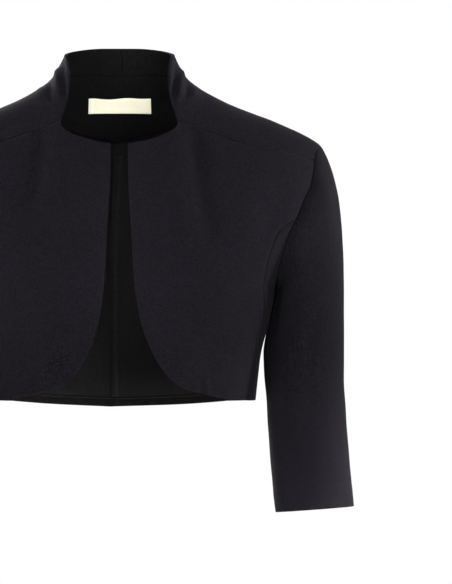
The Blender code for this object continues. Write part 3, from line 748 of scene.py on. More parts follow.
def mesh_object(
    name: str, points: Array, faces: list, flat: Array | None, material: bpy.types.Material
) -> Object:
    """Object at the origin with a smooth mesh.

    Args:
        name: Name of the object and its mesh.
        points: Vertices in millimetres.
        faces: Lists of vertex indices.
        flat: Two flat coordinates in metres for each corner of each face, or None.
        material: Its finish.

    Returns:
        The new object, linked to the scene.
    """
    mesh = bpy.data.meshes.new(name)
    mesh.from_pydata((points * MM).tolist(), [], faces)
    if flat is not None:
        layer = mesh.uv_layers.new(name="cloth")
        layer.data.foreach_set("uv", np.ascontiguousarray(flat, dtype=np.float32).reshape(-1))
    mesh.materials.append(material)
    mesh.shade_smooth()
    mesh.validate()
    mesh.update()
    piece = bpy.data.objects.new(name, mesh)
    bpy.context.scene.collection.objects.link(piece)
    return piece


def cloth_object(name: str, blocks: Sequence[Block], face: "Finish", wrong_side: "Finish") -> Object:
    """Closed piece of cloth: outer faces, inner faces turned round, and a rim on open edges.

    Points that two blocks share are merged by place.

    Args:
        name: Name of the object.
        blocks: The piece's grids.
        face: Finish of the outer faces and the rim.
        wrong_side: Finish of the inner faces.

    Returns:
        The piece.
    """
    faces = []
    first = 0
    for block in blocks:
        rows, columns = block.outer.shape[:2]
        index = first + np.arange(rows * columns).reshape(rows, columns)
        quads = np.stack([index[:-1, :-1], index[1:, :-1], index[1:, 1:], index[:-1, 1:]], -1).reshape(-1, 4)
        faces.append(quads[:, REVERSED] if block.turned else quads)
        first += rows * columns
    loose = np.concatenate(faces)
    outer = np.concatenate([block.outer.reshape(-1, 3) for block in blocks])
    inner = np.concatenate([block.inner.reshape(-1, 3) for block in blocks])
    flat = np.concatenate([block.flat.reshape(-1, 2) for block in blocks]) * MM
    _, keep, same = np.unique(np.round(outer, 3), axis=0, return_index=True, return_inverse=True)
    quads = same.reshape(-1)[loose]
    edges, corners = (
        np.stack([index, np.roll(index, -1, axis=1)], -1).reshape(-1, 2) for index in (quads, loose)
    )
    _, index, count = np.unique(np.sort(edges, axis=1), axis=0, return_inverse=True, return_counts=True)
    lone = count[index.reshape(-1)] == 1
    rim, rim_corners = edges[lone], corners[lone]
    shift = len(keep)
    rims = np.stack([rim[:, 1], rim[:, 0], rim[:, 0] + shift, rim[:, 1] + shift], -1)
    every = np.concatenate([quads, quads[:, REVERSED] + shift, rims])
    at = np.concatenate([loose, loose[:, REVERSED], rim_corners[:, [1, 0, 0, 1]]])
    points = np.concatenate([outer[keep], inner[keep]])
    piece = mesh_object(name, points, every.tolist(), flat[at], face.material())
    if wrong_side != face:
        piece.data.materials.append(wrong_side.material())
        inside = np.zeros(len(every), np.int32)
        inside[len(quads) : 2 * len(quads)] = 1
        piece.data.polygons.foreach_set("material_index", inside)
    return piece


def thread_object(
    name: str, paths: Array, normals: Array, radius: float, finish: "Finish", sides: int = 5
) -> Object:
    """Round threads along paths: circles in the plane of the normal and the cross product with it.

    Args:
        name: Name of the object.
        paths: Points in millimetres, threads by points along each by 3.
        normals: A direction across the thread at each point.
        radius: Half the thread's width.
        finish: Its finish.
        sides: Corners of the circle.

    Returns:
        The threads, closed at both ends.
    """
    tangent = unit(np.gradient(paths, axis=1))
    across = unit(np.cross(tangent, normals))
    up = np.cross(across, tangent)
    angle = np.arange(sides) * 2 * np.pi / sides
    ring = across[:, :, None] * np.cos(angle)[:, None] + up[:, :, None] * np.sin(angle)[:, None]
    points = paths[:, :, None] + ring * radius
    index = np.arange(points[..., 0].size).reshape(points.shape[:3])
    one, two = index[:, :-1], index[:, 1:]
    quads = np.stack([one, np.roll(one, -1, 2), np.roll(two, -1, 2), two], -1).reshape(-1, 4)
    caps = np.concatenate([index[:, 0, ::-1], index[:, -1]])
    return mesh_object(name, points.reshape(-1, 3), quads.tolist() + caps.tolist(), None, finish.material())


@dataclass(frozen=True)
class Stitching:
    """Row of stitches along a line on cloth: each is a thread that rises from the cloth and dips back.

    A stitch's height is the rise times the sine of its way along, less a share of the thread's radius
    where it enters the cloth.
    """

    pitch: float = 2.8
    length: float = 2.0
    radius: float = 0.17
    rise: float = 0.16
    sunk: float = 0.6
    points: int = 5

    def build(self, name: str, line: Array, normals: Array, finish: "Finish") -> Object:
        """Stitches along a line.

        Args:
            name: Name of the piece.
            line: Points of the line, on the cloth's surface.
            normals: Directions away from the cloth at those points.
            finish: The thread's finish.

        Returns:
            The piece, with all its stitches.
        """
        along = lengths(line)
        count = int(along[-1] // self.pitch)
        start = (along[-1] - (count - 1) * self.pitch - self.length) / 2 + np.arange(count) * self.pitch
        share = np.linspace(0, 1, self.points)
        at = start[:, None] + share * self.length
        up = unit(interpolate(at, along, normals))
        arch = np.sin(np.pi * share)
        lift = self.rise * arch - self.sunk * self.radius * (1 - arch)
        paths = interpolate(at, along, line) + up * lift[:, None]
        return thread_object(name, paths, up, self.radius, finish)


@dataclass(frozen=True)
class Serging:
    """Overlock thread round a raw edge: an uneven flat spiral."""

    pitch: float = 2.3
    reach: float = 3.6
    rise: float = 0.85
    radius: float = 0.17
    per_turn: int = 12
    uneven: float = 0.1
    beat: float = 1.7
    overhang: float = 0.25
    across: tuple[float, float, float] = (0.31, 0.22, 0.93)

    def build(self, name: str, edge: Array, inward: Array, normals: Array, finish: "Finish") -> Object:
        """The thread along an edge.

        Its place is the edge, plus the reach times half of one less the cosine of the turn, plus the
        rise times its sine. The turn grows by one a pitch.

        Args:
            name: Name of the piece.
            edge: Points of the raw edge, in the middle of the cloth.
            inward: Directions from the edge into the cloth.
            normals: Directions away from the cloth.
            finish: The thread's finish.

        Returns:
            The piece.
        """
        along = lengths(edge)
        turns = int(along[-1] // self.pitch)
        turn = np.linspace(0, turns, turns * self.per_turn + 1)
        at = turn / turns * along[-1]
        spot, into, up = (interpolate(at, along, rows) for rows in (edge, inward, normals))
        angle = 2 * np.pi * turn
        reach = self.reach * (0.5 - 0.5 * np.cos(angle)) * (1 + self.uneven * np.sin(turn * self.beat))
        path = spot + into * (reach - self.overhang)[:, None]
        path = path + unit(up) * (self.rise * np.sin(angle))[:, None]
        across = np.broadcast_to(self.across, path.shape)
        return thread_object(name, path[None], across[None], self.radius, finish)


# Finishes


def fill(tree: Tree, node: Node, inputs: dict[str | int, object]) -> Node:
    """Links or sets inputs of a node.

    Args:
        tree: The node's tree.
        node: The node.
        inputs: A socket or a value for the name or number of each input.

    Returns:
        The node.
    """
    for word, value in inputs.items():
        if isinstance(value, Socket):
            tree.links.new(value, node.inputs[word])
        else:
            node.inputs[word].default_value = value
    return node


def math_node(tree: Tree, operation: str, *values: object) -> Socket:
    """Result of a Math node whose inputs are sockets or numbers."""
    node = tree.nodes.new("ShaderNodeMath")
    node.operation = operation
    return fill(tree, node, dict(enumerate(values))).outputs[0]


def group_node(tree: Tree, group: Tree, inputs: dict[str, object]) -> Node:
    """Node that stands for a group."""
    node = tree.nodes.new("ShaderNodeGroup")
    node.node_tree = group
    return fill(tree, node, inputs)


def node_group(name: str, inputs: dict[str, float], outputs: Sequence[str]) -> Tree:
    """Empty shader node group.

    Args:
        name: Name of the group.
        inputs: Default of each number that goes in, after the place in metres.
        outputs: Name of each number that comes out.

    Returns:
        The group.
    """
    group = bpy.data.node_groups.new(name, "ShaderNodeTree")
    group.interface.new_socket("Place", in_out="INPUT", socket_type="NodeSocketVector")
    for word, value in inputs.items():
        socket = group.interface.new_socket(word, in_out="INPUT", socket_type="NodeSocketFloat")
        socket.default_value = value
    for word in outputs:
        group.interface.new_socket(word, in_out="OUTPUT", socket_type="NodeSocketFloat")
    group.nodes.new("NodeGroupInput")
    group.nodes.new("NodeGroupOutput")
    return group


def weave_group() -> Tree:
    """Plain weave on the cloth's flat coordinates.

    The height is the size of the product of two sines, one across each set of threads, whose half
    wave is one pitch. Noise is added to it and makes the threads uneven.
    """
    name = "woven threads"
    if name in bpy.data.node_groups:
        return bpy.data.node_groups[name]
    group = node_group(name, {"Pitch": 0.0006, "Unevenness": 0.4}, ("Height",))
    into, out = group.nodes["Group Input"], group.nodes["Group Output"]
    place = into.outputs["Place"]
    noise = group.nodes.new("ShaderNodeTexNoise")
    fill(group, noise, {"Vector": place, "Scale": 900.0, "Detail": 2.0})
    split = fill(group, group.nodes.new("ShaderNodeSeparateXYZ"), {0: place})
    waves = []
    for axis in (0, 1):
        turn = math_node(group, "DIVIDE", split.outputs[axis], into.outputs["Pitch"])
        waves.append(math_node(group, "SINE", math_node(group, "MULTIPLY", turn, np.pi)))
    ribs = math_node(group, "ABSOLUTE", math_node(group, "MULTIPLY", *waves))
    rough = math_node(group, "MULTIPLY", noise.outputs[0], into.outputs["Unevenness"])
    fill(group, out, {"Height": math_node(group, "ADD", ribs, rough)})
    return group


def tone_group() -> Tree:
    """Slow and fine unevenness of a colour: two sizes of noise, each from 0 to 1."""
    name = "cloth tone"
    if name in bpy.data.node_groups:
        return bpy.data.node_groups[name]
    group = node_group(name, {"Patch Scale": 28.0, "Fleck Scale": 900.0}, ("Patches", "Flecks"))
    into, out = group.nodes["Group Input"], group.nodes["Group Output"]
    for word, scale, detail in (("Patches", "Patch Scale", 4.0), ("Flecks", "Fleck Scale", 1.0)):
        noise = group.nodes.new("ShaderNodeTexNoise")
        fill(group, noise, {"Vector": into.outputs["Place"], "Scale": into.outputs[scale], "Detail": detail})
        fill(group, out, {word: noise.outputs[0]})
    return group


@dataclass(frozen=True)
class Finish:
    """Matt cloth: two near colours mixed by patches and flecks, a woven bump and a soft sheen.

    The mix is the start, plus patches times their noise, plus flecks times how far theirs is above half.
    """

    name: str
    dark: Colour
    light: Colour
    roughness: float = 0.95
    specular: float = 0.04
    sheen: float = 0.0
    sheen_tint: Colour = (0.5, 0.48, 0.55)
    pitch: float = 0.0006
    bump: float = 0.0001
    strength: float = 0.8
    start: float = 0.3
    patches: float = 0.4
    flecks: float = 2.4
    patch_scale: float = 28.0
    fleck_scale: float = 900.0
    uneven: float = 0.12
    uneven_by: str = "Patches"

    def relief(self, tree: Tree, place: Node, tone: Node) -> Socket:
        """Height of the surface: the weave on the flat coordinates."""
        weave = group_node(tree, weave_group(), {"Place": place.outputs["UV"], "Pitch": self.pitch})
        return weave.outputs["Height"]

    def material(self) -> bpy.types.Material:
        """The finish as a material, made once."""
        if self.name in bpy.data.materials:
            return bpy.data.materials[self.name]
        material = bpy.data.materials.new(self.name)
        material.use_nodes = True
        tree = material.node_tree
        place = tree.nodes.new("ShaderNodeTexCoord")
        scales = {"Patch Scale": self.patch_scale, "Fleck Scale": self.fleck_scale}
        tone = group_node(tree, tone_group(), {"Place": place.outputs["Object"], **scales})
        start = self.start - self.flecks / 2
        blend = math_node(tree, "MULTIPLY_ADD", tone.outputs["Flecks"], self.flecks, start)
        blend = math_node(tree, "MULTIPLY_ADD", tone.outputs["Patches"], self.patches, blend)
        mix = tree.nodes.new("ShaderNodeMix")
        mix.data_type = "RGBA"
        fill(tree, mix, {"Factor": blend, "A": (*self.dark, 1.0), "B": (*self.light, 1.0)})
        least = self.roughness - self.uneven / 2
        uneven = math_node(tree, "MULTIPLY_ADD", tone.outputs[self.uneven_by], self.uneven, least)
        height = self.relief(tree, place, tone)
        bump = tree.nodes.new("ShaderNodeBump")
        fill(tree, bump, {"Distance": self.bump, "Strength": self.strength, "Height": height})
        fill(tree, tree.nodes["Principled BSDF"], {
            "Base Color": mix.outputs["Result"],
            "Roughness": uneven,
            "Normal": bump.outputs["Normal"],
            "Specular IOR Level": self.specular,
            "Sheen Weight": self.sheen,
            "Sheen Roughness": 0.5,
            "Sheen Tint": (*self.sheen_tint, 1.0),
        })
        return material


@dataclass(frozen=True)
class ThreadFinish(Finish):
    """Sewing thread: a colour that noise varies a little, with a fine twist in its bump."""

    def relief(self, tree: Tree, place: Node, tone: Node) -> Socket:
        """Height of the surface: the flecks."""
        return tone.outputs["Flecks"]

    @classmethod
    def of(cls, name: str, colour: Colour, specular: float = 0.08) -> "ThreadFinish":
        """Finish that runs from 0.7 to 1.25 times a colour."""
        dark, light = (tuple(min(value * share, 1.0) for value in colour) for share in (0.7, 1.25))
        scales = {"patch_scale": 400.0, "fleck_scale": 5000.0}
        mixed = {"start": 0.0, "patches": 1.0, "flecks": 0.0, "uneven": 0.2, "uneven_by": "Flecks"}
        return cls(name, dark, light, 0.55, specular, bump=0.00005, strength=1.0, **scales, **mixed)


OUTER = Finish(
    "outer cloth", (0.0009, 0.0007, 0.0012), (0.0060, 0.0052, 0.0072), specular=0.035, sheen=0.012, flecks=4.0
)
WRONG_SIDE = Finish("wrong side of the cloth", (0.0036, 0.0036, 0.0037), (0.0092, 0.0091, 0.0093))
INNER = Finish("inner cloth", (0.0014, 0.0014, 0.0015), (0.0062, 0.0061, 0.0064), specular=0.02)
LABEL = Finish(
    "label satin", (0.79, 0.76, 0.55), (0.86, 0.84, 0.68), 0.5, 0.4,
    pitch=0.00045, bump=0.00006, patch_scale=60.0, flecks=0.8,
)
FLOOR = Finish(
    "floor paint", (0.80, 0.80, 0.80), (0.84, 0.84, 0.84), 0.9, 0.25, bump=0.0, patch_scale=2.0, flecks=3.2
)
DARK_THREAD = ThreadFinish.of("black thread", (0.006, 0.0055, 0.007))
GREY_THREAD = ThreadFinish.of("grey overlock thread", (0.030, 0.030, 0.032))
CREAM_THREAD = ThreadFinish.of("cream thread", (0.72, 0.64, 0.50), 0.3)


# Pieces


@dataclass
class Piece:
    """What every piece of the jacket has: the seam plan, the drape, its layer and its cloth."""

    plan: SeamPlan
    drape: Drape
    layer: Layer
    face: Finish = OUTER
    wrong_side: Finish = WRONG_SIDE
    slot: str = "outer_cloth"

    @property
    def form(self) -> BodyForm:
        """The form on which the pieces lie."""
        return self.plan.form

    def patch(self, runs: dict[str, Run], *edges: str) -> Patch:
        """Patch between the runs named for its top, bottom, left and right."""
        return Patch(self.form, *(Chain.of(runs, names) for names in edges))

    def cloth(self, name: str, *blocks: Block) -> Object:
        """Piece of this cloth."""
        return cloth_object(name, blocks, self.face, self.wrong_side)

    def wall(self, grid: Array, edges: Sequence[Edge], side: Side = Side.LEFT, turned: bool = True) -> Block:
        """Block of a grid that lies on the form.

        The surface is the form's points less the drape. Each face then moves along the form's normal by
        the layer's depth, by its roll beside sewn edges, and by its rounding beside folded ones.

        Args:
            grid: Points on the form, on the wearer's left.
            edges: Finish of the top, bottom, left and right edges.
            side: The half of the jacket.
            turned: True where the angle from the front falls from column to column.

        Returns:
            The block on its side.
        """
        layer = self.layer
        normal = self.form.outward(grid)
        surface = self.drape.surface(grid * side.flip) * side.flip - normal * layer.depth
        down, along = lengths(grid, 0), lengths(grid, 1)
        roll, close = np.zeros((2, *grid.shape[:2]))
        for edge, distance in zip(edges, (down, down[-1:] - down, along, along[:, -1:] - along)):
            if edge is SEWN:
                roll = np.maximum(roll, layer.seam_depth(distance))
            elif edge is not SHARED:
                share = layer.cut_share if edge is CUT else 1.0
                close = np.maximum(close, share * layer.rounding(distance))
        block = Block(surface, surface - normal * layer.thickness, np.stack([along, -down], -1), turned)
        block.sink(normal, *layer.depths(roll, close))
        return block.mirrored(side)

    def finish_top(self, block: Block, grid: Array, side: Side, sewn: Array, free: Edge) -> None:
        """Finishes a top edge that is sewn along only some of its columns.

        Args:
            block: The block to change.
            grid: Its points on the form.
            side: The half of the jacket.
            sewn: True for each column that is sewn.
            free: Finish of the other columns.
        """
        down = lengths(grid, 0)
        roll = np.where(sewn, self.layer.seam_depth(down), 0)
        close = np.where(sewn | (free is SHARED), 0, self.layer.rounding(down))
        block.sink(self.form.outward(grid) * side.flip, *self.layer.depths(roll, close))

    def dress(
        self, piece: Object, node: str, flat: Flat, on: Sequence[str], extra: Sequence[Object] = ()
    ) -> None:
        """Puts a finished piece of cloth in place of its solid: hides the solid, attaches the piece and its
        extras to the root, and logs its cut.

        Args:
            piece: The object.
            node: Name of the solid that it stands for.
            flat: The size to which it was cut.
            on: Names of the nodes to which it is sewn or on which it lies; not used.
            extra: Separate pieces on it, such as stitches.
        """
        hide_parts(node)
        for item in (piece, *extra):
            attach(item, "root")
        cut = (flat.width, flat.length, flat.area / 100)
        log.info("%s: cut %.0f x %.0f mm, %.0f cm2, %d faces", node, *cut, len(piece.data.polygons))


@dataclass
class FrontPanel(Piece):
    """Front, from the neckline and the forward shoulder seam to the rounded hem."""

    def build(self, side: Side, runs: dict[str, Run]) -> None:
        """Makes the front of one side."""
        patch = self.patch(runs, "neckline yoke", "front_hem", "front_edge", "front princess")
        counts = self.plan.counts
        columns = joined(places(counts.neckline), counts.neckline + places(counts.yoke))
        grid = patch.at(places(patch.left.steps), columns)
        block = self.wall(grid, (SHARED, TURNED, TURNED, SEWN), side, False)
        self.finish_top(block, grid, side, columns > counts.neckline, TURNED)
        piece = self.cloth(f"front_panel_{side.word}", block)
        self.dress(piece, f"front_{side.word}", Flat.of([grid]), side.names("back", "side"))


@dataclass
class SidePanel(Piece):
    """Underarm panel, from the armhole down to the hem, between the princess and the side seam."""

    def grid(self, runs: dict[str, Run], rows: Array, columns: Array) -> Array:
        """Points of the panel.

        Each column falls from the armhole to the hem, at a share of the way between the two seams
        that changes evenly on the way down.
        """
        seams = [runs[name].at(rows) for name in ("princess", "side_seam")]
        top, hem = runs["under"].at(columns), runs["side_hem"].at(columns)

        def between(height: Array) -> tuple[Array, Array]:
            """Angle of the first seam at a height, and the angle from there to the second."""
            low, high = (np.interp(-height, -seam[:, 2], self.form.turn(seam)) for seam in seams)
            return low, high - low

        low, width = between(top[:, 2])
        first = (self.form.turn(top) - low) / width
        u = columns / self.plan.counts.side_columns
        drop = [(seam[:, 2:] - seam[0, 2]) / (seam[-1, 2] - seam[0, 2]) for seam in seams]
        v = (1 - u) * drop[0] + u * drop[1]
        height = (1 - v) * top[:, 2] + v * hem[:, 2]
        low, width = between(height)
        grid = self.form.point(low + ((1 - v) * first + v * u) * width, height)
        grid[0], grid[-1], grid[:, 0], grid[:, -1] = top, hem, *seams
        return grid

    def build(self, side: Side, runs: dict[str, Run]) -> None:
        """Makes the underarm panel of one side."""
        counts = self.plan.counts
        grid = self.grid(runs, places(counts.side_rows), places(counts.side_columns))
        block = self.wall(grid, (SEWN, TURNED, SEWN, SEWN), side, False)
        piece = self.cloth(f"underarm_panel_{side.word}", block)
        self.dress(piece, f"side_{side.word}", Flat.of([grid]), side.names("front", "back"))


@dataclass
class BackHalf(Piece):
    """Back half, which runs over the shoulder to the forward seam, with the collar grown on."""

    def grids(self, runs: dict[str, Run]) -> tuple[Array, Array, Array]:
        """Collar, strip below it, and back, as grids that share their edges."""
        counts = self.plan.counts
        neck = places(counts.neck)
        wide = joined(neck, counts.neck + places(counts.yoke))
        collar = self.patch(runs, "collar_top", "collar_seam", "back_high", "collar_edge_high")
        strip = self.patch(runs, "collar_seam", "neck_base", "back_mid", "collar_edge_low")
        back = self.patch(runs, "neck_base yoke", "back_hem", "back_low", "shoulder_up back side_seam")
        return (
            collar.at(places(counts.collar), neck),
            strip.at(places(counts.strip), neck),
            back.at(places(back.left.steps), wide),
        )

    def build(self, side: Side, grids: tuple[Array, Array, Array]) -> None:
        """Makes the back half of one side."""
        edges = ((TURNED, SHARED, SEWN, TURNED), (SHARED, SHARED, SEWN, TURNED), (SHARED, TURNED, SEWN, SEWN))
        collar, strip, back = (self.wall(grid, finish, side) for grid, finish in zip(grids, edges))
        neck = grids[0].shape[1]
        self.finish_top(back, grids[2], side, np.arange(grids[2].shape[1]) >= neck, SHARED)
        strip.outer[-1], strip.inner[-1] = back.outer[0, :neck], back.inner[0, :neck]
        collar.outer[-1], collar.inner[-1] = strip.outer[0], strip.inner[0]
        piece = self.cloth(f"back_half_{side.word}", collar, strip, back)
        self.dress(piece, f"back_{side.word}", Flat.of(grids), side.names("front", "side"))


@dataclass
class Sleeve(Piece):
    """Three-quarter set-in sleeve: a cap from the armhole, then a tube down to the cuff."""

    # Height, inner and outer distance from the middle, front, back, lean
    rings: Rows = (
        (-222.0, 153.0, 231.3, -49.0, 57.0, 0.0),
        (-250.0, 149.5, 231.3, -48.5, 52.5, 0.0),
        (-273.0, 147.0, 231.3, -48.5, 49.0, 0.0),
        (-290.0, 148.0, 231.3, -48.5, 46.5, 0.0),
        (-305.0, 149.2, 231.5, -49.0, 44.5, 0.2),
        (-325.5, 151.0, 232.4, -49.5, 42.0, 0.5),
        (-350.0, 152.6, 233.8, -50.5, 39.0, 1.0),
        (-375.0, 154.6, 235.9, -52.0, 35.5, 1.6),
        (-400.0, 156.6, 237.9, -53.5, 32.0, 2.2),
        (-420.0, 158.6, 239.6, -54.5, 29.5, 2.7),
        (-437.7, 161.0, 241.4, -55.5, 27.0, 3.1),
    )
    power: float = 2.1
    # Angle round the armhole from its top by the front, direction in which the cap leaves, pull
    starts: Rows = (
        (0.0, 0.50, 0.00, -0.87, 0.85),
        (45.0, 0.66, -0.38, -0.62, 0.80),
        (90.0, 0.80, -0.42, -0.42, 0.80),
        (135.0, 0.80, -0.38, -0.42, 0.85),
        (180.0, 0.40, 0.00, -0.92, 0.80),
        (225.0, 0.80, 0.38, -0.42, 0.85),
        (270.0, 0.80, 0.42, -0.42, 0.80),
        (315.0, 0.66, 0.38, -0.62, 0.80),
        (360.0, 0.50, 0.00, -0.87, 0.85),
    )
    landing: float = 0.95
    dense: int = 1200
    cap_rows: int = 34
    cap_power: float = 1.25
    cap_close: Sequence[float] = (0.002, 0.006, 0.012)
    tube_rows: int = 64
    tube_close: Sequence[float] = (0.0, 0.15, 0.45, 0.9, 1.6, 2.6)
    tube_end: float = 4.0
    around: int = 144
    clearance: float = 0.5
    blend: float = 0.6
    cleared: tuple[float, float] = (-370.0, -110.0)
    # Height, angle, half length, half width in degrees, depth
    folds: Rows = (
        (-216.0, 202.0, 27.0, 32.0, -8.2),
        (-232.0, 152.0, 52.0, 26.0, 8.0),
        (-280.0, 152.0, 26.0, 18.0, 4.5),
        (-262.0, 118.0, 34.0, 17.0, 3.4),
        (-318.0, 138.0, 40.0, 15.0, 2.6),
        (-300.0, 222.0, 36.0, 18.0, 3.2),
        (-352.0, 246.0, 30.0, 20.0, 2.4),
        (-250.0, 96.0, 30.0, 13.0, -1.4),
        (-335.0, 200.0, 26.0, 14.0, 2.0),
        (-272.0, 132.0, 26.0, 9.0, 1.6),
        (-344.0, 112.0, 44.0, 10.0, -1.6),
        (-300.0, 84.0, 60.0, 12.0, 1.2),
        (-392.0, 128.0, 30.0, 14.0, 1.3),
    )
    fold_fade: float = 14.0
    hem_height: float = 24.0
    hem_step: float = 0.1
    hem_step_width: float = 4.0
    hem_dent: float = 0.05
    hem_dent_width: float = 2.2
    wave: float = 0.3
    wave_size: float = 38.0
    wave_seed: float = 2.1
    wave_fade: float = 12.0
    lift_fade: float = 8.0
    stitching: Stitching = Stitching(pitch=3.2, length=1.1, radius=0.1, rise=0.02)

    def ring(self, heights: Array, around: Array) -> Array:
        """Rings at heights.

        Each is the middle of the tube plus its half sizes times the cosine and the sine over their
        power mean, and is lower on the inner side by the lean.
        """
        table = np.array(self.rings)[::-1]
        sizes = hermite(table[:, 0], table[:, 1:], heights)
        inner, outer, front, back, lean = np.moveaxis(sizes, -1, 0)[..., None]
        sine, cosine = np.sin(around), np.cos(around)
        reach = power_reach(around, self.power)
        across = (inner + outer) / 2 + (outer - inner) / 2 * cosine / reach
        along = (front + back) / 2 - (back - front) / 2 * sine / reach
        return np.stack([across, along, heights[:, None] + lean * cosine], -1)

    def loop(self, runs: dict[str, Run], share: Array) -> Array:
        """Armhole at shares of the way round, of which 1 is its lowest point."""
        chain = Chain.of(runs, "shoulder front under back_up")
        dense = chain.at(np.linspace(0, chain.steps, self.dense))
        along = lengths(dense)
        lowest = along[np.argmin(dense[:, 2])]
        wanted = np.where(share <= 1, share * lowest, lowest + (share - 1) * (along[-1] - lowest))
        return interpolate(wanted, along, dense)

    def cap(self, loop: Array, body: Array, around: Array) -> Array:
        """Rows of the cap, a cubic from the armhole to the first ring.

        It leaves along a direction that turns round the armhole, and lands along the tube.
        """
        table = np.array(self.starts)
        start = hermite(table[:, 0], table[:, 1:], np.degrees(around))
        span = np.linalg.norm(body[0] - loop, axis=1, keepdims=True)
        leave = unit(start[:, :3]) * span * start[:, 3:]
        land = unit(body[1] - body[0]) * span * self.landing
        even = np.linspace(0, 1, self.cap_rows)[:-1]
        t = np.unique(np.concatenate([even**self.cap_power, self.cap_close]))[:, None, None]
        first = (1 + 2 * t) * (1 - t) ** 2 * loop + t * (1 - t) ** 2 * leave
        return first + t * t * (3 - 2 * t) * body[0] - t * t * (1 - t) * land

    def folded(self, points: Array, around: Array) -> Array:
        """The points with each fold pressed in, a bell of angle and height that fades at the armhole."""
        away = points - points.mean(axis=1, keepdims=True)
        away[..., 2] = 0
        press = np.zeros(points.shape[:2])
        for height, angle, half_length, half_width, depth in self.folds:
            off = (np.degrees(around) - angle + 180) % 360 - 180
            press += depth * bell(off / half_width) * bell((points[..., 2] - height) / half_length)
        return points - unit(away) * (press * smooth_step(lengths(points, 0) / self.fold_fade))[..., None]

    def surface(self, runs: dict[str, Run]) -> Array:
        """The sleeve's outer surface, ring by ring from the armhole, with its first column repeated.

        Points too near to the body form are moved out by a soft maximum.
        """
        around = np.linspace(0, 2 * np.pi, self.around + 1)
        top, bottom = self.rings[0][0], self.rings[-1][0]
        even = np.linspace(top, bottom + self.tube_end, self.tube_rows)
        heights = np.sort(np.concatenate([even, bottom + np.array(self.tube_close)]))[::-1]
        body = self.ring(heights, around)
        loop = self.loop(runs, around / np.pi)
        rings = self.folded(np.vstack([self.cap(loop, body, around), body]), around)
        slope = self.form.slope(rings)
        size = np.linalg.norm(slope, axis=-1)
        low, high = self.cleared
        near = (rings[..., 2] > low) & (rings[..., 2] < high)
        lift = self.blend * np.logaddexp(0, (self.clearance - self.form.value(rings) / size) / self.blend)
        rings = rings + slope * (np.where(near, lift, 0) / size)[..., None]
        rings[0] = loop
        rings[:, -1] = rings[:, 0]
        return rings

    def normals(self, rings: Array) -> Array:
        """Outward unit normals: the cross product of the steps round and down the tube."""
        closed = np.concatenate([rings[:, -2:-1], rings, rings[:, 1:2]], axis=1)
        normal = unit(np.cross(closed[:, 2:] - closed[:, :-2], np.gradient(rings, axis=0)))
        away = rings - rings[:, :-1].mean(axis=1, keepdims=True)
        normal = normal * np.sign((normal * away).sum(-1).mean())
        normal[0] = self.form.outward(rings[0])
        return normal

    def build(self, side: Side, runs: dict[str, Run]) -> None:
        """Makes the sleeve of one side, with its cuff turned up inside and stitched."""
        rings = self.surface(runs)
        normal = self.normals(rings)
        down = lengths(rings, 0)
        up = down[-1:] - down
        roll, close = self.layer.seam_depth(down), self.layer.rounding(up)
        hem = self.hem_step * smooth_step((self.hem_height - up) / self.hem_step_width)
        hem = hem - self.hem_dent * bell((up - self.hem_height) / self.hem_dent_width)
        wave = self.wave * Ripple(self.wave_size, self.wave_seed + side.value).at(rings * side.flip)
        lift = (hem + wave * smooth_step(down / self.wave_fade)) * smooth_step(down / self.lift_fade)
        block = Block(rings.copy(), rings.copy(), np.stack([lengths(rings, 1), -down], -1), True)
        turned_in = 2 * np.maximum(hem, 0)
        block.sink(normal, roll + close - lift, roll + self.layer.thickness + turned_in - lift - close)
        block.outer[:, -1], block.inner[:, -1] = block.outer[:, 0], block.inner[:, 0]
        block = block.mirrored(side)
        piece = self.cloth(f"set_in_sleeve_{side.word}", block)
        row = int(np.argmin(np.abs(up[:, 0] - self.hem_height)))
        line, away = block.outer[row], normal[row] * side.flip
        stitches = self.stitching.build(f"cuff_stitches_{side.word}", line, away, DARK_THREAD)
        on = side.names("front", "back", "side")
        self.dress(piece, f"sleeve_{side.word}", Flat.of([rings]), on, [stitches])


@dataclass
class Lining(Piece):
    """What the pieces of the inner cloth share."""

    face: Finish = INNER
    wrong_side: Finish = INNER
    slot: str = "inner_cloth"


@dataclass
class CollarFacing(Lining):
    """Inner layer of the collar."""

    def build(self, side: Side, collar: Array) -> None:
        """Makes the facing of one side."""
        block = self.wall(collar, (TURNED, SEWN, SEWN, TURNED), side)
        piece = self.cloth(f"collar_lining_{side.word}", block)
        on = [*side.names("back"), "neck_facing"]
        self.dress(piece, f"collar_facing_{side.word}", Flat.of([collar]), on)


@dataclass
class NeckFacing(Lining):
    """Inner layer below the collar, in one piece round the back neck."""

    def build(self, halves: dict[Side, tuple[Array, Array, Array]]) -> None:
        """Makes the facing from the strip and the upper back of both halves."""
        counts = self.plan.counts
        blocks, grids = [], []
        rows = places(counts.shoulder + counts.back_armhole + counts.side_rows)
        depth = int(np.argmin(np.abs(rows - counts.neck_facing))) + 1
        for side, (_, strip, back) in halves.items():
            low = back[:depth, : strip.shape[1]]
            top = self.wall(strip, (SEWN, SHARED, SHARED, TURNED), side)
            under = self.wall(low, (SHARED, TURNED, SHARED, SHARED), side)
            top.outer[-1], top.inner[-1] = under.outer[0], under.inner[0]
            blocks += [top, under]
            grids.append((strip, low))
        for first, second in zip(blocks[:2], blocks[2:]):
            second.outer[:, 0], second.inner[:, 0] = first.outer[:, 0], first.inner[:, 0]
        piece = self.cloth("back_neck_facing", *blocks)
        left, right = (Flat.of(pair) for pair in grids)
        flat = Flat(left.width * 2, left.length, left.area + right.area)
        tack = TackThreads(self.plan, self.drape, Layer(2.0)).build()
        self.dress(piece, "neck_facing", flat, ["back_left", "back_right"], [tack])


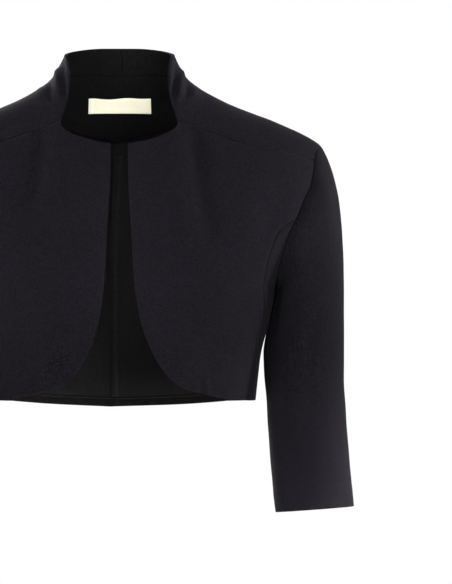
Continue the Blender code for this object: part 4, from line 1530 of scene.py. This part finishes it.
@dataclass
class TackThreads(Piece):
    """Short crossed threads that hold the neck facing's lower edge to the back."""

    # Distance and height of both ends
    ends: Rows = ((-6.4, -81.0, -1.2, -85.0), (-4.6, -86.2, -1.8, -79.6), (-3.4, -83.2, 0.6, -84.6))
    radius: float = 0.16
    rise: float = 0.35

    def build(self) -> Object:
        """Each thread is a shallow arc on the inside of the back."""
        table = np.array(self.ends)[:, None]
        share = np.linspace(0, 1, 9)[:, None]
        flat = table[..., :2] + (table[..., 2:] - table[..., :2]) * share
        points = self.form.on_back(flat[..., 0], flat[..., 1])
        normal = self.form.outward(points)
        paths = points - normal * (self.layer.depth + self.rise * np.sin(np.pi * share))
        return thread_object("tack_threads", paths, -normal, self.radius, GREY_THREAD)


@dataclass
class NeckLabel(Piece):
    """Woven label, bare, sewn inside the back neck at its two short ends."""

    face: Finish = LABEL
    wrong_side: Finish = LABEL
    slot: str = "woven_label"
    width: float = 66.0
    tall: float = 15.8
    middle: float = -20.0
    fold: float = 5.0
    close: float = 0.1
    wave: float = 1.2
    wave_length: float = 7.6
    slow_length: float = 23.0
    stand_off: tuple[float, float] = (1.1, 0.8)
    fold_height: float = 0.25
    stitch_place: float = 2.2
    stitching: Stitching = Stitching(pitch=2.4, length=1.7, radius=0.16)

    def even(self, size: float, steps: int) -> Array:
        """Even places across a size and one close to each end."""
        ends = [self.close - size / 2, size / 2 - self.close]
        return np.unique(np.concatenate([np.linspace(-size / 2, size / 2, steps + 1), ends]))

    def build(self) -> None:
        """Makes the label: its upper edge stands off in a slow wave, and its ends are folded under."""
        across, up = self.even(self.width, 66), self.even(self.tall, 16)[::-1, None]
        inward = self.width / 2 - np.abs(across)
        wave = self.wave * np.sin(across / self.wave_length + 0.4) * np.cos(across / self.slow_length)
        height = up + self.middle + wave * smooth_step(inward / 12) * smooth_step(up / self.tall + 0.5)
        grid = self.form.on_back(np.broadcast_to(across, height.shape), height)
        block = self.wall(grid, (TURNED,) * 4)
        gap, swing = self.stand_off
        lift = smooth_step((up + 2) / 9) * smooth_step((inward - self.fold) / 10)
        lift = lift * (gap + swing * np.sin(across / self.wave_length + 0.8))
        normal = self.form.outward(grid)
        block.sink(normal, lift, lift + self.fold_height * smooth_step((self.fold - inward) / 0.8))
        piece = self.cloth("woven_neck_label", block)
        extra = []
        for side in Side:
            column = int(np.argmin(np.abs(across - side.value * (self.width / 2 - self.stitch_place))))
            line, away = block.inner[2:-2, column], -normal[2:-2, column]
            extra.append(self.stitching.build(f"label_stitches_{side.word}", line, away, CREAM_THREAD))
        flat = Flat(self.width, self.tall, self.width * self.tall)
        self.dress(piece, "label", flat, ["neck_facing"], extra)


@dataclass
class SeamAllowance(Piece):
    """Serged allowance of the centre-back seam, pressed towards the wearer's left."""

    face: Finish = WRONG_SIDE
    slot: str = "inner_cloth"
    width: float = 8.0
    top: float = -72.0
    gap: float = 0.3
    above_hem: float = 9.9
    stand_off: float = 0.1
    # Height of a wave, length over 2 pi, shift
    waves: Rows = ((0.2, 6.1, 0.0), (0.15, 2.9, 1.0))

    def build(self) -> None:
        """Makes the strip and the overlock thread on its free edge."""
        height = np.linspace(self.top, self.plan.back_hem[-1][1] + self.above_hem, 120)[:, None]
        share = np.linspace(0, 1, 13)
        across = self.plan.seam_distance(height, 1) + self.gap + share * self.width
        grid = self.form.on_back(across, np.broadcast_to(height, across.shape))
        block = self.wall(grid, (CUT, CUT, TURNED, CUT))
        normal = self.form.outward(grid)
        wave = sum(rise * np.sin(height / long + shift) for rise, long, shift in self.waves)
        sunk = wave * share**2 + self.stand_off
        block.sink(normal, sunk, sunk)
        piece = self.cloth("centre_back_allowance", block)
        edge = (block.outer[:, -1] + block.inner[:, -1]) / 2
        inward = unit(block.outer[:, -4] - block.outer[:, -1])
        thread = Serging().build("overlock_thread", edge, inward, -normal[:, -1], GREY_THREAD)
        self.dress(piece, "back_seam_allowance", Flat.of([grid]), ["back_left"], [thread])


@dataclass
class HemTurnup(Lining):
    """Hem turned up inside, from one underarm panel round the back to the other."""

    turn: float = 9.4
    gap: float = 0.3
    steps: int = 150
    rises: Sequence[float] = (8.9, 8.7, 8.2, 7.4, 6.2, 4.4, 2.6, 1.4, 0.7, 0.25, 0.0)
    stitch_drop: float = 1.8
    pinch: float = 0.5
    pinch_width: float = 0.9
    stitching: Stitching = Stitching(pitch=3.0, length=2.2)

    def build(self) -> None:
        """Makes the turned-up hem and the stitches along its upper edge."""
        plan = self.plan
        rows = np.vstack([[plan.front_hem_end], [plan.side_hem_end], plan.back_hem[1:]])
        line = Run(plan.line(rows), self.steps).at(np.arange(self.steps + 1))
        line = np.vstack([line, (line * Side.RIGHT.flip)[::-1][1:]])
        rise = np.array(self.rises) / self.rises[0] * (self.turn - self.gap) + self.gap
        height = line[:, 2] + rise[:, None]
        grid = self.form.point(np.broadcast_to(self.form.turn(line), height.shape), height)
        block = self.wall(grid, (TURNED, TURNED, CUT, CUT), turned=False)
        normal = self.form.outward(grid)
        row = int(np.argmin(np.abs(rise - (self.turn - self.stitch_drop))))
        pinch = self.pinch * bell((rise - rise[row]) / self.pinch_width)[:, None]
        block.sink(normal, np.zeros(1), -pinch)
        piece = self.cloth("turned_hem", block)
        stitches = self.stitching.build("hem_stitches", block.inner[row], -normal[row], GREY_THREAD)
        on = [f"{word}_{side.word}" for word in ("back", "side") for side in Side]
        self.dress(piece, "hem_turnup", Flat.of([grid]), on, [stitches])


# Studio


@dataclass(frozen=True)
class Lamp:
    """Soft rectangular light that looks at a point."""

    name: str
    place: tuple[float, float, float]
    size: tuple[float, float]
    power: float
    aim: tuple[float, float, float] = (0.0, 0.0, -0.2)
    spread: float = 180.0

    def build(self) -> None:
        """Adds the light."""
        data = bpy.data.lights.new(self.name, "AREA")
        data.shape = "RECTANGLE"
        data.size, data.size_y = self.size
        data.energy = self.power
        data.spread = np.radians(self.spread)
        lamp = bpy.data.objects.new(self.name, data)
        lamp.location = self.place
        lamp.rotation_euler = (Vector(self.aim) - lamp.location).to_track_quat("-Z", "Y").to_euler()
        lamp.visible_camera = False
        bpy.context.scene.collection.objects.link(lamp)


@dataclass(frozen=True)
class Studio:
    """Pale floor, soft lights and the camera, which stands far off and level, as in the photo."""

    centre: tuple[float, float] = (0.1098, -0.2142)
    distance: float = 16.0
    picture_rows: int = 584
    row_size: float = 1.03 * MM
    sensor: float = 36.0
    world: float = 1.0
    floor_height: float = -0.62
    floor_reach: float = 3.0
    floor_corners: int = 64
    lamps: tuple[Lamp, ...] = (
        Lamp("low front strip", (0.05, -1.1, -0.50), (1.5, 0.25), 2.8, (0.05, 0.0, -0.30)),
        Lamp("gap light", (0.0, -1.6, -0.17), (0.1, 0.2), 0.053, (0.0, 0.08, -0.156), 5.2),
        Lamp("front light", (0.9, -2.7, -0.4), (1.0, 1.0), 100.0),
        Lamp("other front light", (-1.6, -2.6, -0.4), (1.0, 1.0), 66.0),
        Lamp("collar light", (1.6, -0.12, -0.15), (0.3, 0.3), 1.3, (0.08, -0.04, 0.0), 20.0),
        Lamp("other collar light", (-1.6, -0.12, -0.15), (0.3, 0.3), 1.1, (-0.08, -0.04, 0.0), 20.0),
        Lamp("cuff light", (0.45, -1.2, -0.58), (0.2, 0.2), 0.45, (0.26, 0.0, -0.49), 12.0),
        Lamp("cuff edge light", (1.2, 0.0, -0.5), (0.2, 0.2), 0.6, (0.24, 0.0, -0.43), 14.0),
        Lamp("side light", (2.6, 0.4, -0.3), (0.8, 0.8), 14.0),
        Lamp("other side light", (-2.6, 0.4, -0.2), (0.8, 0.8), 18.0),
        Lamp("back light", (-1.0, 2.8, 0.9), (1.6, 1.6), 150.0),
    )

    def build(self) -> None:
        """Makes the camera, world, lights and floor."""
        scene = bpy.context.scene
        across, up = self.centre
        data = bpy.data.cameras.new("camera")
        data.sensor_width = self.sensor
        data.lens = self.sensor * self.distance / (self.picture_rows * self.row_size)
        data.clip_end = 100.0
        camera = bpy.data.objects.new("camera", data)
        camera.location = (across, -self.distance, up)
        camera.rotation_euler = (np.pi / 2, 0.0, 0.0)
        scene.collection.objects.link(camera)
        scene.camera = camera
        world = bpy.data.worlds.new("studio")
        world.use_nodes = True
        back = world.node_tree.nodes["Background"]
        fill(world.node_tree, back, {"Color": (1.0, 1.0, 1.0, 1.0), "Strength": self.world})
        scene.world = world
        scene.view_settings.view_transform = "Standard"
        for lamp in self.lamps:
            lamp.build()
        self.build_floor()

    def build_floor(self) -> None:
        """Makes the floor, a wide disc."""
        count = self.floor_corners
        angle = np.arange(count) * 2 * np.pi / count
        reach, height = self.floor_reach / MM, np.full(count, self.floor_height / MM)
        points = np.stack([np.cos(angle) * reach, np.sin(angle) * reach, height], -1)
        mesh_object("floor", points, [list(range(count))], points[:, :2] * MM, FLOOR.material())


def main() -> None:
    """Builds the jacket's pieces in order, then the studio."""
    logging.basicConfig(level=logging.INFO, format="%(name)s: %(message)s", stream=sys.stdout)
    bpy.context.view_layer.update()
    plan = SeamPlan()
    drape = Drape(plan.form)
    outer = Layer()
    lining = Layer(2.05, 1.1, roll=0.9, roll_width=0.7, dip=0.1, outer_share=0.0, inner_share=-1.05)
    halves = {}
    for side in Side:
        runs = plan.half(side.value)
        FrontPanel(plan, drape, outer).build(side, runs)
        SidePanel(plan, drape, outer).build(side, runs)
        back = BackHalf(plan, drape, outer)
        halves[side] = back.grids(runs)
        back.build(side, halves[side])
        Sleeve(plan, drape, outer).build(side, runs)
        CollarFacing(plan, drape, lining).build(side, halves[side][0])
    NeckFacing(plan, drape, lining).build(halves)
    NeckLabel(plan, drape, Layer(3.45, 0.55)).build()
    SeamAllowance(plan, drape, Layer(2.05, 1.0)).build()
    HemTurnup(plan, drape, lining).build()
    Studio().build()


if __name__ == "__main__":
    main()
